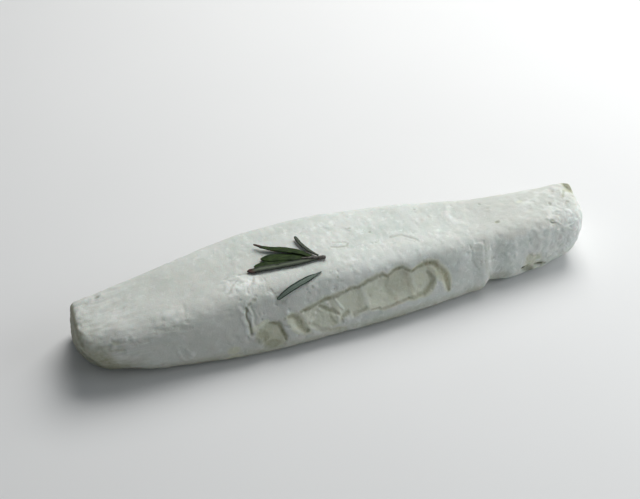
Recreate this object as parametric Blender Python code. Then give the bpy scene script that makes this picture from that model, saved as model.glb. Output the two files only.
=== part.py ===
"""Goat cheese log with a rosemary sprig and one loose rosemary needle lying on its rind.

Metres, +Z up. The log lies along X on the plane z = 0, and its rubbed side faces -Y.
Run it with: blender --background --python part.py
"""
import math
from dataclasses import dataclass

import bmesh
import bpy
from mathutils import Matrix, Vector, noise
from mathutils.bvhtree import BVHTree


@dataclass(frozen=True)
class Rail:
    """A size that changes along the log: its value at mid-length, then (change, from u, to u)."""

    middle: float
    changes: tuple

    def at(self, u):
        """Value at the place u, which is -1 at the left end and 1 at the right end."""
        return self.middle + sum(change * taper(u, start, end) for change, start, end in self.changes)


# Driving sizes of the log
LOG_LENGTH = 0.230
HALF_LENGTH = LOG_LENGTH / 2
MID_HEIGHT = 0.0282
END_HEIGHT = 0.0255
FRONT_FOOT = Rail(-0.0275, ((0.0100, -0.25, -1.1), (0.0030, -0.84, -1.0), (0.0074, 0.06, 1.0)))
FRONT_TOP = Rail(-0.0165, ((-0.0055, -0.32, -0.85), (-0.0022, 0.1, 0.5)))
BACK_FOOT = Rail(0.0280, ((-0.0155, -0.2, -1.0), (-0.0165, -0.1, 0.9)))
BACK_TOP = Rail(0.0236, ((-0.0145, -0.24, -1.0), (-0.0024, -0.7, -1.0), (-0.0176, -0.14, 0.94)))
BELLY_OUT = Rail(0.0020, ((0.0015, -0.4, -0.9),))
BELLY_LEVEL = 0.30
BACK_BELLY_OUT = 0.0010
BACK_BELLY_LEVEL = 0.35

# Rounds of the section's corners
FRONT_FOOT_ROUND = Rail(0.0045, ((0.0030, -0.5, -1.0),))
BACK_FOOT_ROUND = 0.0045
BACK_BELLY_ROUND = 0.010
BACK_TOP_ROUND = Rail(0.0080, ((-0.0048, 0.6, 1.0), (-0.0048, -0.6, -1.0)))
FRONT_TOP_ROUND = 0.0095
FRONT_BELLY_ROUND = 0.012

# Rounds of the two ends, seen from above: at the back, at the front's top and at the front's foot
END_ROUND = 0.0030
LEFT_TOP_ROUND = 0.0060
LEFT_FOOT_ROUND = 0.0125
RIGHT_TOP_ROUND = 0.0065
RIGHT_FOOT_ROUND = 0.0110
LEFT_SKEW = 0.0
RIGHT_SKEW = 0.0040
LEFT_FOOT_OUT = 0.0028
RIGHT_FOOT_OUT = 0.0030
LEFT_FOOT_CUT = 0.0070
RIGHT_FOOT_CUT = 0.0012
SKEW_START = 0.70
CUT_START = 0.6
CUT_SPAN = 1.6

# Mesh spacing: (from, to, spans) along X, and the faces round one section
FINE_LEFT = -0.052
FINE_RIGHT = 0.066
STRETCHES = (
    (-HALF_LENGTH + END_ROUND, FINE_LEFT, 13),
    (FINE_LEFT, FINE_RIGHT, 50),
    (FINE_RIGHT, HALF_LENGTH - END_ROUND, 13),
)
END_RINGS = 4
ARC_STEPS = 8
BASE_FACES = 5
BACK_FACES = 7
TOP_FACES = 11
FRONT_FACES = 14
CAP_SCALES = (0.68, 0.34)
END_BULGE = 0.0008

# Rubbed patches on the front: centre x, centre z, half length, half height, lean in degrees
RUBBED_LOBES = (
    (-0.0392, 0.0108, 0.0062, 0.0068, 0.0),
    (-0.0268, 0.0128, 0.0022, 0.0052, 28.0),
    (-0.0165, 0.0138, 0.0082, 0.0056, 24.0),
    (-0.0030, 0.0160, 0.0082, 0.0056, 12.0),
    (0.0095, 0.0172, 0.0068, 0.0060, 8.0),
    (0.0195, 0.0178, 0.0058, 0.0068, 0.0),
    (0.0290, 0.0172, 0.0058, 0.0064, 0.0),
)
RUBBED_DEPTH = 0.0007
RUBBED_EDGE = 0.30

# Crescent that closes the rubbed strip at its right end
CRESCENT_CENTRE = (0.0330, 0.0135)
CRESCENT_RADIUS = 0.0095
CRESCENT_HALF_WIDTH = 0.0022
CRESCENT_TURNS = (-0.1, 2.2)
CRESCENT_FADES = (0.4, 0.5)

# Step in the front where one end of the log sits back
STEP_X = 0.0630
STEP_DEPTH_FOOT = 0.0026
STEP_DEPTH_TOP = 0.0006
STEP_LIP = 0.0007
STEP_LIP_HALF = 0.0060
STEP_SHARP = 0.0030
STEP_SOFT = 0.0120
STEP_TOP = 0.0250
STEP_OVER = 0.0020
STEP_FADE = 0.0060

# Chip low on the front near the right end
CHIP_CENTRE = (0.0865, 0.0062)
CHIP_HALF = (0.0065, 0.0036)
CHIP_DEPTH = 0.0009

# Raised rim round the right end, the hollow beside it and the raised fold near the sprig's tips
RIM_X = 0.1085
RIM_HALF = 0.0065
RIM_RISE = 0.0006
HOLLOW_X = 0.0990
HOLLOW_HALF = 0.0065
HOLLOW_DEPTH = 0.0005
FOLD_X = -0.0465
FOLD_Y = -0.0065
FOLD_HALF = (0.0050, 0.0110)
FOLD_RISE = 0.0006
HIGH_START = 0.010
HIGH_SPAN = 0.010

# Slow unevenness of the whole rind: rise and size of the lumps, and a seed
LUMPS = ((0.00060, 0.034, 3.0), (0.00030, 0.013, 11.0))
LUMP_START = 0.004
LUMP_FULL = 0.010
FACING_FULL = 0.5
UP_FULL = 0.6

# Rosemary: gap over the rind, needle thickness and the mesh of one needle
GAP = 0.00035
RAY_HEIGHT = 0.1
AROUND = 0.003
NEEDLE_THICK = 0.00062
THIN_SHARE = 0.55
LOWER_WIDTH = 0.94
OPENING_SPAN = 0.35
NEEDLE_SPANS = 14
TIP_CROWDING = 1.5
NEEDLE_ACROSS = (-1.0, -0.70, -0.34, 0.0, 0.34, 0.70, 1.0)
UNDERSIDE_RELIEF = (0.78, 1.00, 0.62, 0.86, 0.62, 1.00, 0.78)
UPPERSIDE_RELIEF = (0.55, 0.92, 1.00, 0.80, 1.00, 0.92, 0.55)


@dataclass(frozen=True)
class Needle:
    """A rosemary needle: its ends on the rind, its width, and how it lifts, bows and closes."""

    name: str
    base: tuple
    tip: tuple
    width: float
    lifts: tuple = (0.0001, 0.0001)
    bow: float = 0.0
    underside: bool = False
    base_share: float = 0.50
    tip_share: float = 0.20
    tip_reach: float = 0.22
    tip_power: float = 2.4


SPRIG_NEEDLES = (
    Needle("needle_back", (-0.0118, -0.0057), (-0.0172, 0.0078), 0.0020, (0.0006, 0.0015), 0.0006, True,
           tip_reach=0.40),
    Needle("needle_high", (-0.0150, -0.0052), (-0.0352, 0.0080), 0.0036, (0.0008, 0.0028), -0.0006,
           tip_share=0.16, tip_reach=0.62, tip_power=1.3),
    Needle("needle_mid", (-0.0160, -0.0050), (-0.0348, 0.0010), 0.0037, (0.0004, 0.0007), 0.0005),
    Needle("needle_low", (-0.0175, -0.0056), (-0.0383, -0.0026), 0.0036, (0.0002, 0.0004), 0.0005),
    Needle("needle_front", (-0.0110, -0.0071), (-0.0422, -0.0056), 0.0027, (0.0007, 0.0013), -0.0008, True,
           tip_share=0.35, tip_reach=0.12),
)
STEM_START = (-0.0090, -0.0073)
STEM_END = (-0.0190, -0.0050)
STEM_RADIUS = 0.00085
STEM_TIP_RADIUS = 0.00045
STEM_SPANS = 6
STEM_SIDES = 8

# The loose needle over the front shoulder
LOOSE_NEEDLE = Needle("rosemary_needle", (-0.0134, -0.0137), (-0.0334, -0.0184), 0.0027, underside=True,
                      base_share=0.26, tip_reach=0.45, tip_power=2.0)


def ease(value):
    """Smooth step from 0 to 1."""
    value = min(max(value, 0.0), 1.0)
    return value * value * (3 - 2 * value)


def taper(u, start, end):
    """Smooth step of the place u along the log, 0 at start and 1 at end."""
    return ease((u - start) / (end - start))


def hump(value, centre, half):
    """Round hump, 1 at the centre and 0 at half a width away."""
    return ease(1 - abs(value - centre) / half)


def log_height(u):
    """Height of the log at u."""
    return MID_HEIGHT - (MID_HEIGHT - END_HEIGHT) * u * u


def corner_arc(before, corner, after, radius):
    """Points of the round that replaces a corner of the section, from one side to the other."""
    to_before = (before - corner).normalized()
    to_after = (after - corner).normalized()
    half_angle = to_before.angle(to_after) / 2
    bisector = (to_before + to_after).normalized()
    centre = corner + bisector * (radius / math.sin(half_angle))
    reach = radius / math.tan(half_angle)
    start = corner + to_before * reach - centre
    end = corner + to_after * reach - centre
    turn = start.angle_signed(end)
    arc = []
    for step in range(ARC_STEPS + 1):
        arc.append(centre + Matrix.Rotation(-turn * step / ARC_STEPS, 2) @ start)
    return arc


def evenly(path, spans):
    """Points that part a polyline into equal spans, without its last point."""
    reach = [0.0]
    for here, there in zip(path, path[1:]):
        reach.append(reach[-1] + (there - here).length)
    points = []
    piece = 0
    for step in range(spans):
        goal = reach[-1] * step / spans
        while reach[piece + 1] < goal:
            piece += 1
        share = (goal - reach[piece]) / (reach[piece + 1] - reach[piece])
        points.append(path[piece].lerp(path[piece + 1], share))
    return points


def section(u):
    """Closed section of the log at u: base, back, top and front, as (y, z) vectors."""
    top = log_height(u)
    corners = [
        Vector((FRONT_FOOT.at(u), 0.0)),
        Vector((BACK_FOOT.at(u), 0.0)),
        Vector((BACK_FOOT.at(u) + BACK_BELLY_OUT, BACK_BELLY_LEVEL * top)),
        Vector((BACK_TOP.at(u), top)),
        Vector((FRONT_TOP.at(u), top)),
        Vector((FRONT_FOOT.at(u) - BELLY_OUT.at(u), BELLY_LEVEL * top)),
    ]
    radii = (FRONT_FOOT_ROUND.at(u), BACK_FOOT_ROUND, BACK_BELLY_ROUND, BACK_TOP_ROUND.at(u),
             FRONT_TOP_ROUND, FRONT_BELLY_ROUND)
    arcs = []
    for index, corner in enumerate(corners):
        arcs.append(corner_arc(corners[index - 1], corner, corners[(index + 1) % 6], radii[index]))
    middle = ARC_STEPS // 2
    sides = (
        (arcs[0][middle:] + arcs[1][:middle + 1], BASE_FACES),
        (arcs[1][middle:] + arcs[2] + arcs[3][:middle + 1], BACK_FACES),
        (arcs[3][middle:] + arcs[4][:middle + 1], TOP_FACES),
        (arcs[4][middle:] + arcs[5] + arcs[0][:middle + 1], FRONT_FACES),
    )
    points = []
    for path, faces in sides:
        points.extend(evenly(path, faces))
    return points


def end_round(side, front, low):
    """Radius that rounds an end in plan, from how far front and how low a point is."""
    top, foot = (LEFT_TOP_ROUND, LEFT_FOOT_ROUND) if side < 0 else (RIGHT_TOP_ROUND, RIGHT_FOOT_ROUND)
    return END_ROUND + (top + (foot - top) * ease(low) - END_ROUND) * ease(front)


def ring(x, angle):
    """Points of the log's ring at x, or of an end's round at an angle of up to a quarter turn."""
    side = -1 if x < 0 else 1
    fine = abs(FINE_LEFT) if side < 0 else FINE_RIGHT
    skew = LEFT_SKEW if side < 0 else RIGHT_SKEW
    foot_out = LEFT_FOOT_OUT if side < 0 else RIGHT_FOOT_OUT
    foot_cut = LEFT_FOOT_CUT if side < 0 else RIGHT_FOOT_CUT
    u = x / HALF_LENGTH
    outline = section(u)
    low_corner = Vector((min(p.x for p in outline), min(p.y for p in outline)))
    high_corner = Vector((max(p.x for p in outline), max(p.y for p in outline)))
    centre = (low_corner + high_corner) / 2
    half = (high_corner - low_corner) / 2
    points = []
    for y, z in outline:
        across = (y - centre.x) / half.x
        low = 1 - z / high_corner.y
        radius = end_round(side, -across, low)
        away = abs(x)
        if away > fine:
            stretch = (HALF_LENGTH - radius - fine) / (HALF_LENGTH - END_ROUND - fine)
            away = fine + (away - fine) * stretch
        near_end = ease((abs(u) - SKEW_START) / (1 - SKEW_START))
        foot = (foot_out - foot_cut * ease((CUT_START - across) / CUT_SPAN)) * ease(low)
        away += radius * math.sin(angle) + (skew * across + foot) * near_end
        inset_y = radius * (1 - math.cos(angle))
        inset_z = END_ROUND * (1 - math.cos(angle))
        points.append(Vector((
            side * away,
            centre.x + (y - centre.x) * (1 - inset_y / half.x),
            centre.y + (z - centre.y) * (1 - inset_z / half.y),
        )))
    return points


def log_rings():
    """All rings from the left end to the right end, with the rounds at both ends."""
    quarter = math.pi / 2
    run = HALF_LENGTH - END_ROUND
    rings = [ring(-run, quarter * step / END_RINGS) for step in range(END_RINGS, 0, -1)]
    for start, end, spans in STRETCHES:
        for step in range(spans):
            rings.append(ring(start + (end - start) * step / spans, 0.0))
    rings.extend(ring(run, quarter * step / END_RINGS) for step in range(END_RINGS + 1))
    return rings


def rubbed(x, z):
    """Depth of the rubbed strip on the front, where the white rind is gone."""
    deepest = 0.0
    for centre_x, centre_z, half_x, half_z, lean in RUBBED_LOBES:
        tilt = math.radians(lean)
        along = (x - centre_x) * math.cos(tilt) + (z - centre_z) * math.sin(tilt)
        up = (z - centre_z) * math.cos(tilt) - (x - centre_x) * math.sin(tilt)
        inside = 1 - math.hypot(along / half_x, up / half_z)
        deepest = max(deepest, ease(inside / RUBBED_EDGE))
    dx = x - CRESCENT_CENTRE[0]
    dz = z - CRESCENT_CENTRE[1]
    on_arc = hump(math.hypot(dx, dz), CRESCENT_RADIUS, CRESCENT_HALF_WIDTH)
    turned = math.atan2(dz, dx)
    first, last = CRESCENT_TURNS
    on_arc *= ease((turned - first) / CRESCENT_FADES[0]) * ease((last - turned) / CRESCENT_FADES[1])
    return RUBBED_DEPTH * max(deepest, on_arc)


def step_relief(x, z):
    """The set-back in the front: a sharp lip on its left and a soft slope on its right."""
    reach = ease((STEP_TOP - z) / STEP_TOP)
    depth = STEP_DEPTH_TOP + (STEP_DEPTH_FOOT - STEP_DEPTH_TOP) * reach
    fade = ease((STEP_TOP + STEP_OVER - z) / STEP_FADE)
    away = x - STEP_X
    if away < 0:
        lip = STEP_LIP * hump(away, -STEP_SHARP, STEP_LIP_HALF)
        return fade * (lip - depth * ease(1 + away / STEP_SHARP))
    return -fade * depth * ease(1 - away / STEP_SOFT)


def relief(point, normal):
    """Outward displacement of the rind at a point: lumps, hollows, rubbed strip, step and chip."""
    x, y, z = point
    rise = 0.0
    for size, width, seed in LUMPS:
        rise += size * noise.noise(point / width + Vector((seed, seed, seed)))
    upper = ease((z - LUMP_START) / (LUMP_FULL - LUMP_START))
    facing = ease(-normal.y / FACING_FULL)
    high = ease((z - HIGH_START) / HIGH_SPAN)
    rise += RIM_RISE * hump(x, RIM_X, RIM_HALF) * high
    rise -= HOLLOW_DEPTH * hump(x, HOLLOW_X, HOLLOW_HALF) * high * facing
    fold = hump(x, FOLD_X, FOLD_HALF[0]) * hump(y, FOLD_Y, FOLD_HALF[1])
    rise += FOLD_RISE * fold * ease(normal.z / UP_FULL)
    rise *= upper
    rise -= facing * rubbed(x, z)
    rise += facing * step_relief(x, z)
    chip = hump(x, CHIP_CENTRE[0], CHIP_HALF[0]) * hump(z, CHIP_CENTRE[1], CHIP_HALF[1])
    return rise - CHIP_DEPTH * chip * facing


def close_end(bm, loop, outward):
    """Close an end with two smaller rings and a middle point, a little bulged out."""
    centre = sum((vert.co for vert in loop), Vector()) / len(loop)
    outer = loop
    for scale in CAP_SCALES:
        inner = []
        for vert in loop:
            place = centre.lerp(vert.co, scale)
            place.x += outward * END_BULGE * (1 - scale * scale)
            inner.append(bm.verts.new(place))
        join_rings(bm, outer, inner, outward < 0)
        outer = inner
    tip = bm.verts.new(centre + Vector((outward * END_BULGE, 0.0, 0.0)))
    for index, vert in enumerate(outer):
        after = outer[(index + 1) % len(outer)]
        bm.faces.new((vert, after, tip) if outward > 0 else (after, vert, tip))


def join_rings(bm, first, second, turned=False):
    """Skin two rings with quads."""
    count = len(first)
    for index in range(count):
        after = (index + 1) % count
        quad = (first[index], first[after], second[after], second[index])
        bm.faces.new(tuple(reversed(quad)) if turned else quad)


def build_log(material):
    """The cheese: a loft of rounded sections with its relief, closed at both ends."""
    bm = bmesh.new()
    rings = []
    for points in log_rings():
        rings.append([bm.verts.new(point) for point in points])
    for first, second in zip(rings, rings[1:]):
        join_rings(bm, first, second)
    close_end(bm, rings[0], -1)
    close_end(bm, rings[-1], 1)
    bmesh.ops.recalc_face_normals(bm, faces=bm.faces)
    bm.normal_update()
    moves = [vert.normal * relief(vert.co, vert.normal) for vert in bm.verts]
    for vert, move in zip(bm.verts, moves):
        vert.co += move
        vert.co.z = max(vert.co.z, 0.0)
    bmesh.ops.triangulate(bm, faces=bm.faces, quad_method="SHORT_EDGE")
    return mesh_object("cheese", bm, material)


def mesh_object(name, bm, material):
    """Turn a bmesh into a named object with one material."""
    mesh = bpy.data.meshes.new(name)
    bm.to_mesh(mesh)
    bm.free()
    mesh.materials.append(material)
    thing = bpy.data.objects.new(name, mesh)
    bpy.context.scene.collection.objects.link(thing)
    return thing


class Rind:
    """The finished rind, asked for its height and direction under a place."""

    def __init__(self, log):
        bm = bmesh.new()
        bm.from_mesh(log.data)
        self.tree = BVHTree.FromBMesh(bm)
        bm.free()

    def over(self, place, lift):
        """Point above the rind at (x, y) and the rind's direction there."""
        down = Vector((0, 0, -1))
        hit, normal, _, _ = self.tree.ray_cast(Vector((place[0], place[1], RAY_HEIGHT)), down)
        around = Vector()
        for dx, dy in ((AROUND, 0), (-AROUND, 0), (0, AROUND), (0, -AROUND)):
            start = Vector((place[0] + dx, place[1] + dy, RAY_HEIGHT))
            around += self.tree.ray_cast(start, down)[1]
        direction = (normal + around).normalized()
        return hit + direction * (GAP + lift), direction


def centre_line(rind, base, tip, lifts, bow, shares):
    """Points and directions along a needle or stem that follows the rind."""
    run = Vector(tip) - Vector(base)
    aside = Vector((-run.y, run.x)).normalized()
    line = []
    for share in shares:
        place = Vector(base) + run * share + aside * (bow * 4 * share * (1 - share))
        lift = lifts[0] + (lifts[1] - lifts[0]) * share * share
        line.append(rind.over(place, lift))
    return line


def width_share(needle, share):
    """Share of the full width along a needle, narrow at its base and blunt at its tip."""
    opening = needle.base_share + (1 - needle.base_share) * ease(share / OPENING_SPAN)
    short = max(0.0, 1 - (1 - share) / needle.tip_reach)
    return opening * (needle.tip_share + (1 - needle.tip_share) * (1 - short ** needle.tip_power))


def needle_rows(bm, rind, needle):
    """Rows of vertices across the needle, on its upper sheet and on its lower sheet."""
    shares = [1 - (1 - step / NEEDLE_SPANS) ** TIP_CROWDING for step in range(NEEDLE_SPANS + 1)]
    line = centre_line(rind, needle.base, needle.tip, needle.lifts, needle.bow, shares)
    profile = UNDERSIDE_RELIEF if needle.underside else UPPERSIDE_RELIEF
    tops = []
    bottoms = []
    for step, (centre, up) in enumerate(line):
        ahead = line[min(step + 1, NEEDLE_SPANS)][0] - line[max(step - 1, 0)][0]
        side = up.cross(ahead).normalized()
        grown = width_share(needle, shares[step])
        half = needle.width / 2 * grown
        thick = NEEDLE_THICK * (THIN_SHARE + (1 - THIN_SHARE) * grown)
        top = [centre + side * (half * across) + up * (thick * rise)
               for across, rise in zip(NEEDLE_ACROSS, profile)]
        bottom = [centre + side * (half * across * LOWER_WIDTH) for across in NEEDLE_ACROSS]
        tops.append([bm.verts.new(place) for place in top])
        bottoms.append([bm.verts.new(place) for place in bottom])
    return tops, bottoms


def build_needle(rind, needle, material):
    """One rosemary needle: a thin closed solid with rolled margins and a midrib or a groove."""
    bm = bmesh.new()
    tops, bottoms = needle_rows(bm, rind, needle)
    last = len(NEEDLE_ACROSS) - 1
    for here, there in zip(range(NEEDLE_SPANS), range(1, NEEDLE_SPANS + 1)):
        for column in range(last):
            for sheet in (tops, bottoms):
                near, beside = sheet[here][column], sheet[here][column + 1]
                ahead, across = sheet[there][column], sheet[there][column + 1]
                bm.faces.new((near, beside, across))
                bm.faces.new((near, across, ahead))
        bm.faces.new((tops[here][0], tops[there][0], bottoms[there][0], bottoms[here][0]))
        bm.faces.new((tops[here][last], bottoms[here][last], bottoms[there][last], tops[there][last]))
    for row in (0, NEEDLE_SPANS):
        for column in range(last):
            bm.faces.new((tops[row][column], bottoms[row][column],
                          bottoms[row][column + 1], tops[row][column + 1]))
    bmesh.ops.recalc_face_normals(bm, faces=bm.faces)
    bmesh.ops.triangulate(bm, faces=[face for face in bm.faces if len(face.verts) > 3])
    return mesh_object(needle.name, bm, material)


def build_stem(rind, material):
    """The sprig's short woody stem: a tapered rod from its cut end into the needles."""
    shares = [step / STEM_SPANS for step in range(STEM_SPANS + 1)]
    line = centre_line(rind, STEM_START, STEM_END, (0.0, 0.0), 0.0, shares)
    bm = bmesh.new()
    rings = []
    for step, (centre, up) in enumerate(line):
        ahead = (line[min(step + 1, STEM_SPANS)][0] - line[max(step - 1, 0)][0]).normalized()
        side = up.cross(ahead).normalized()
        radius = STEM_RADIUS + (STEM_TIP_RADIUS - STEM_RADIUS) * step / STEM_SPANS
        middle = centre + up * STEM_RADIUS
        points = []
        for corner in range(STEM_SIDES):
            angle = math.tau * (corner + 0.5) / STEM_SIDES
            points.append(bm.verts.new(middle + (side * math.cos(angle) + up * math.sin(angle)) * radius))
        rings.append(points)
    for first, second in zip(rings, rings[1:]):
        join_rings(bm, first, second)
    bm.faces.new(rings[0])
    bm.faces.new(rings[-1])
    bmesh.ops.recalc_face_normals(bm, faces=bm.faces)
    return mesh_object("rosemary_sprig", bm, material)


def build_sprig(rind, material):
    """The stem and its five needles, joined into one solid by a Boolean union."""
    stem = build_stem(rind, material)
    needles = bpy.data.collections.new("needles")
    bpy.context.scene.collection.children.link(needles)
    for needle in SPRIG_NEEDLES:
        leaf = build_needle(rind, needle, material)
        bpy.context.scene.collection.objects.unlink(leaf)
        needles.objects.link(leaf)
    union = stem.modifiers.new("union", "BOOLEAN")
    union.operation = "UNION"
    union.operand_type = "COLLECTION"
    union.collection = needles
    union.solver = "EXACT"
    union.use_self = True
    depsgraph = bpy.context.evaluated_depsgraph_get()
    joined = bpy.data.meshes.new_from_object(stem.evaluated_get(depsgraph), depsgraph=depsgraph)
    stem.modifiers.clear()
    stem.data = joined
    for leaf in list(needles.objects):
        bpy.data.objects.remove(leaf)
    bpy.data.collections.remove(needles)
    return stem


def finish(name, colour, roughness):
    """A plain finish."""
    material = bpy.data.materials.new(name)
    material.use_nodes = True
    shader = material.node_tree.nodes["Principled BSDF"]
    shader.inputs["Base Color"].default_value = (*colour, 1.0)
    shader.inputs["Roughness"].default_value = roughness
    shader.inputs["Metallic"].default_value = 0.0
    material.diffuse_color = (*colour, 1.0)
    return material


def centre_on_origin(things, reference):
    """Move the meshes so that the reference's box stands centred on the origin."""
    corners = [Vector(corner) for corner in reference.bound_box]
    low = Vector(min(corner[axis] for corner in corners) for axis in range(3))
    high = Vector(max(corner[axis] for corner in corners) for axis in range(3))
    shift = Vector((-(low.x + high.x) / 2, -(low.y + high.y) / 2, -low.z))
    print("moved by (mm)", [round(value * 1000, 3) for value in shift])
    for thing in things:
        thing.data.transform(Matrix.Translation(shift))


def main():
    """Build the three pieces."""
    for thing in list(bpy.data.objects):
        bpy.data.objects.remove(thing)
    rind_white = finish("rind_white", (0.70, 0.72, 0.68), 0.75)
    sprig_green = finish("sprig_green", (0.045, 0.070, 0.030), 0.55)
    needle_green = finish("needle_green", (0.120, 0.160, 0.120), 0.60)
    log = build_log(rind_white)
    rind = Rind(log)
    sprig = build_sprig(rind, sprig_green)
    loose = build_needle(rind, LOOSE_NEEDLE, needle_green)
    bpy.context.view_layer.update()
    centre_on_origin((log, sprig, loose), log)


main()
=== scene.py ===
"""Goat cheese log with a worn front, a rosemary sprig and a loose needle: pieces, finishes, light, camera.

Metres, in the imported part's frame: +X along the log, -Y to the worn front, +Z up. The marks on the rind, its
dirt and its duller places are in millimetres.
"""
import logging
import math
from dataclasses import dataclass
from enum import Enum
from typing import Optional, Sequence, Union

import bpy
import numpy as np
from mathutils import Matrix, Vector, noise
from mathutils.bvhtree import BVHTree


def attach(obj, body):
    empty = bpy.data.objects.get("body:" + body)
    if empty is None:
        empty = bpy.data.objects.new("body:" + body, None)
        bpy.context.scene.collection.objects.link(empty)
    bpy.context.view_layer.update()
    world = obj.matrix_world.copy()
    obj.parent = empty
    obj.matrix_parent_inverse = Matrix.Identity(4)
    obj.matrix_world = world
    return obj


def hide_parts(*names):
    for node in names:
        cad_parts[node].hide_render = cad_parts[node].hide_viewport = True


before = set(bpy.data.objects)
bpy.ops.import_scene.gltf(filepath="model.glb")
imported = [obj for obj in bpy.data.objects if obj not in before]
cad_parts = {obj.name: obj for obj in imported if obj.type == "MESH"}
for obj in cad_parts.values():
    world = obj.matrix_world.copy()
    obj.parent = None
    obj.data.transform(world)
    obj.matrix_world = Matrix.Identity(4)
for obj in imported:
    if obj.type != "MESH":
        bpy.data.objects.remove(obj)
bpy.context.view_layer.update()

LOG = logging.getLogger("goat_cheese")
BODY = "root"
MM = 0.001
# Farther than any mark reaches, in millimetres
FAR = 99.0
# Sockets of a colour mix: its share and two colours, and its result
MIX_INPUTS = (0, 6, 7)
MIX_OUTPUT = 2
Colour = tuple[float, float, float]
Place = tuple[float, float]
Value = Union[bpy.types.NodeSocket, float, Colour]


def ease(values: np.ndarray) -> np.ndarray:
    """Smooth step from 0 to 1.

    Args:
        values: Any numbers; below 0 gives 0 and above 1 gives 1.

    Returns:
        The eased numbers.
    """
    values = np.clip(values, 0.0, 1.0)
    return values * values * (3 - 2 * values)


def hump(values: np.ndarray, centre: float, half: float) -> np.ndarray:
    """Round hump over a centre.

    Args:
        values: Where to read the hump.
        centre: Place of its top.
        half: Distance from its top to its foot.

    Returns:
        1 at the centre, falling to 0 at the foot.
    """
    return ease(1 - np.abs(values - centre) / half)


def from_oval(x: np.ndarray, y: np.ndarray, centre: Place, halves: Place) -> np.ndarray:
    """Distance from the middle of an oval.

    Args:
        x: Places along.
        y: Places across.
        centre: Middle of the oval.
        halves: Its half widths along and across.

    Returns:
        0 in the middle and 1 at the edge.
    """
    return np.hypot((x - centre[0]) / halves[0], (y - centre[1]) / halves[1])


def layered(shares: Sequence[float], patterns: Sequence[np.ndarray]) -> np.ndarray:
    """Add up patterns.

    Args:
        shares: Height or strength of each pattern.
        patterns: Values of each pattern.

    Returns:
        Their sum.
    """
    return sum(share * pattern for share, pattern in zip(shares, patterns))


@dataclass(frozen=True)
class Ramp:
    """Smooth step from 0 to 1 that starts at a number and takes a run, negative where the step falls."""

    start: float
    run: float

    def at(self, values: np.ndarray) -> np.ndarray:
        """Height of the step at each value."""
        return ease((values - self.start) / self.run)


def only(thing: bpy.types.Object) -> bpy.types.Object:
    """Make one object the only selected and active one.

    Args:
        thing: The object that the next operators act on.

    Returns:
        The same object.
    """
    bpy.ops.object.select_all(action="DESELECT")
    thing.select_set(True)
    bpy.context.view_layer.objects.active = thing
    return thing


def apply_modifiers(thing: bpy.types.Object) -> None:
    """Apply all modifiers of an object, in order.

    Args:
        thing: The object whose mesh takes them in.
    """
    only(thing)
    for name in [modifier.name for modifier in thing.modifiers]:
        bpy.ops.object.modifier_apply(modifier=name)


def subdivision(thing: bpy.types.Object, levels: int) -> None:
    """Add a subdivision surface and apply it.

    Args:
        thing: The object to refine.
        levels: Times that each face is split.
    """
    surface = thing.modifiers.new("surface", "SUBSURF")
    surface.levels = levels
    surface.render_levels = levels
    apply_modifiers(thing)


class Skin:
    """The points of a mesh and their directions, pushed and painted by place."""

    def __init__(self, thing: bpy.types.Object) -> None:
        """Read the mesh of an object.

        Args:
            thing: The object to work on.
        """
        self.thing = thing
        self.read()

    def read(self) -> None:
        """Read points and directions anew."""
        mesh = self.thing.data
        flat = np.empty(len(mesh.vertices) * 3, np.float32)
        mesh.vertices.foreach_get("co", flat)
        self.points = flat.reshape(-1, 3).astype(float)
        flat = np.empty(len(mesh.vertices) * 3, np.float32)
        mesh.vertices.foreach_get("normal", flat)
        self.normals = flat.reshape(-1, 3).astype(float)

    def write(self) -> None:
        """Put the points back into the mesh and read the new directions."""
        self.thing.data.vertices.foreach_set("co", self.points.astype(np.float32).ravel())
        self.thing.data.update()
        self.read()

    def push(self, rise: np.ndarray) -> None:
        """Move each point along its direction, never below the ground.

        Args:
            rise: Distance for each point, outwards.
        """
        self.points += self.normals * rise[:, None]
        self.points[:, 2] = np.maximum(self.points[:, 2], 0.0)
        self.write()

    def paint(self, name: str, values: np.ndarray) -> None:
        """Store one number at each point for a finish to read.

        Args:
            name: Name that the finish asks for.
            values: One number for each point.
        """
        layer = self.thing.data.attributes.new(name, "FLOAT", "POINT")
        layer.data.foreach_set("value", np.clip(values, 0.0, 1.0).astype(np.float32))

    def grain(self, size: float, seed: float, stretch: Sequence[float] = (1.0, 1.0, 1.0)) -> np.ndarray:
        """Smooth unevenness at the points.

        Args:
            size: Width of one lump.
            seed: Which of the patterns.
            stretch: Lump width along each axis, in sizes.

        Returns:
            Numbers of about -1 to 1.
        """
        places = self.points / (np.array(stretch) * size) + seed
        return np.fromiter((noise.noise(Vector(place)) for place in places), float, len(places))


@dataclass(frozen=True)
class Pattern:
    """Unevenness of the rind, by its lump width in metres; the seed tells the patterns apart."""

    size: float
    seed: float
    stretch: Colour = (1.0, 1.0, 1.0)
    ramp: Optional[Ramp] = None
    sharp: float = 0.0

    def on(self, skin: Skin) -> np.ndarray:
        """Values of the pattern.

        Args:
            skin: The rind.

        Returns:
            Lumps of -1 to 1, or shares of 0 to 1 with a ramp, or crests with a sharpness.
        """
        values = skin.grain(self.size, self.seed, self.stretch)
        if self.sharp:
            return 1 - np.abs(values) * self.sharp
        return values if self.ramp is None else self.ramp.at(values)


# Directions of the points that belong to the front and to the top
FRONT_FACING = Ramp(-0.05, -0.35)
TOP_FACING = Ramp(0.45, 0.30)


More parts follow.
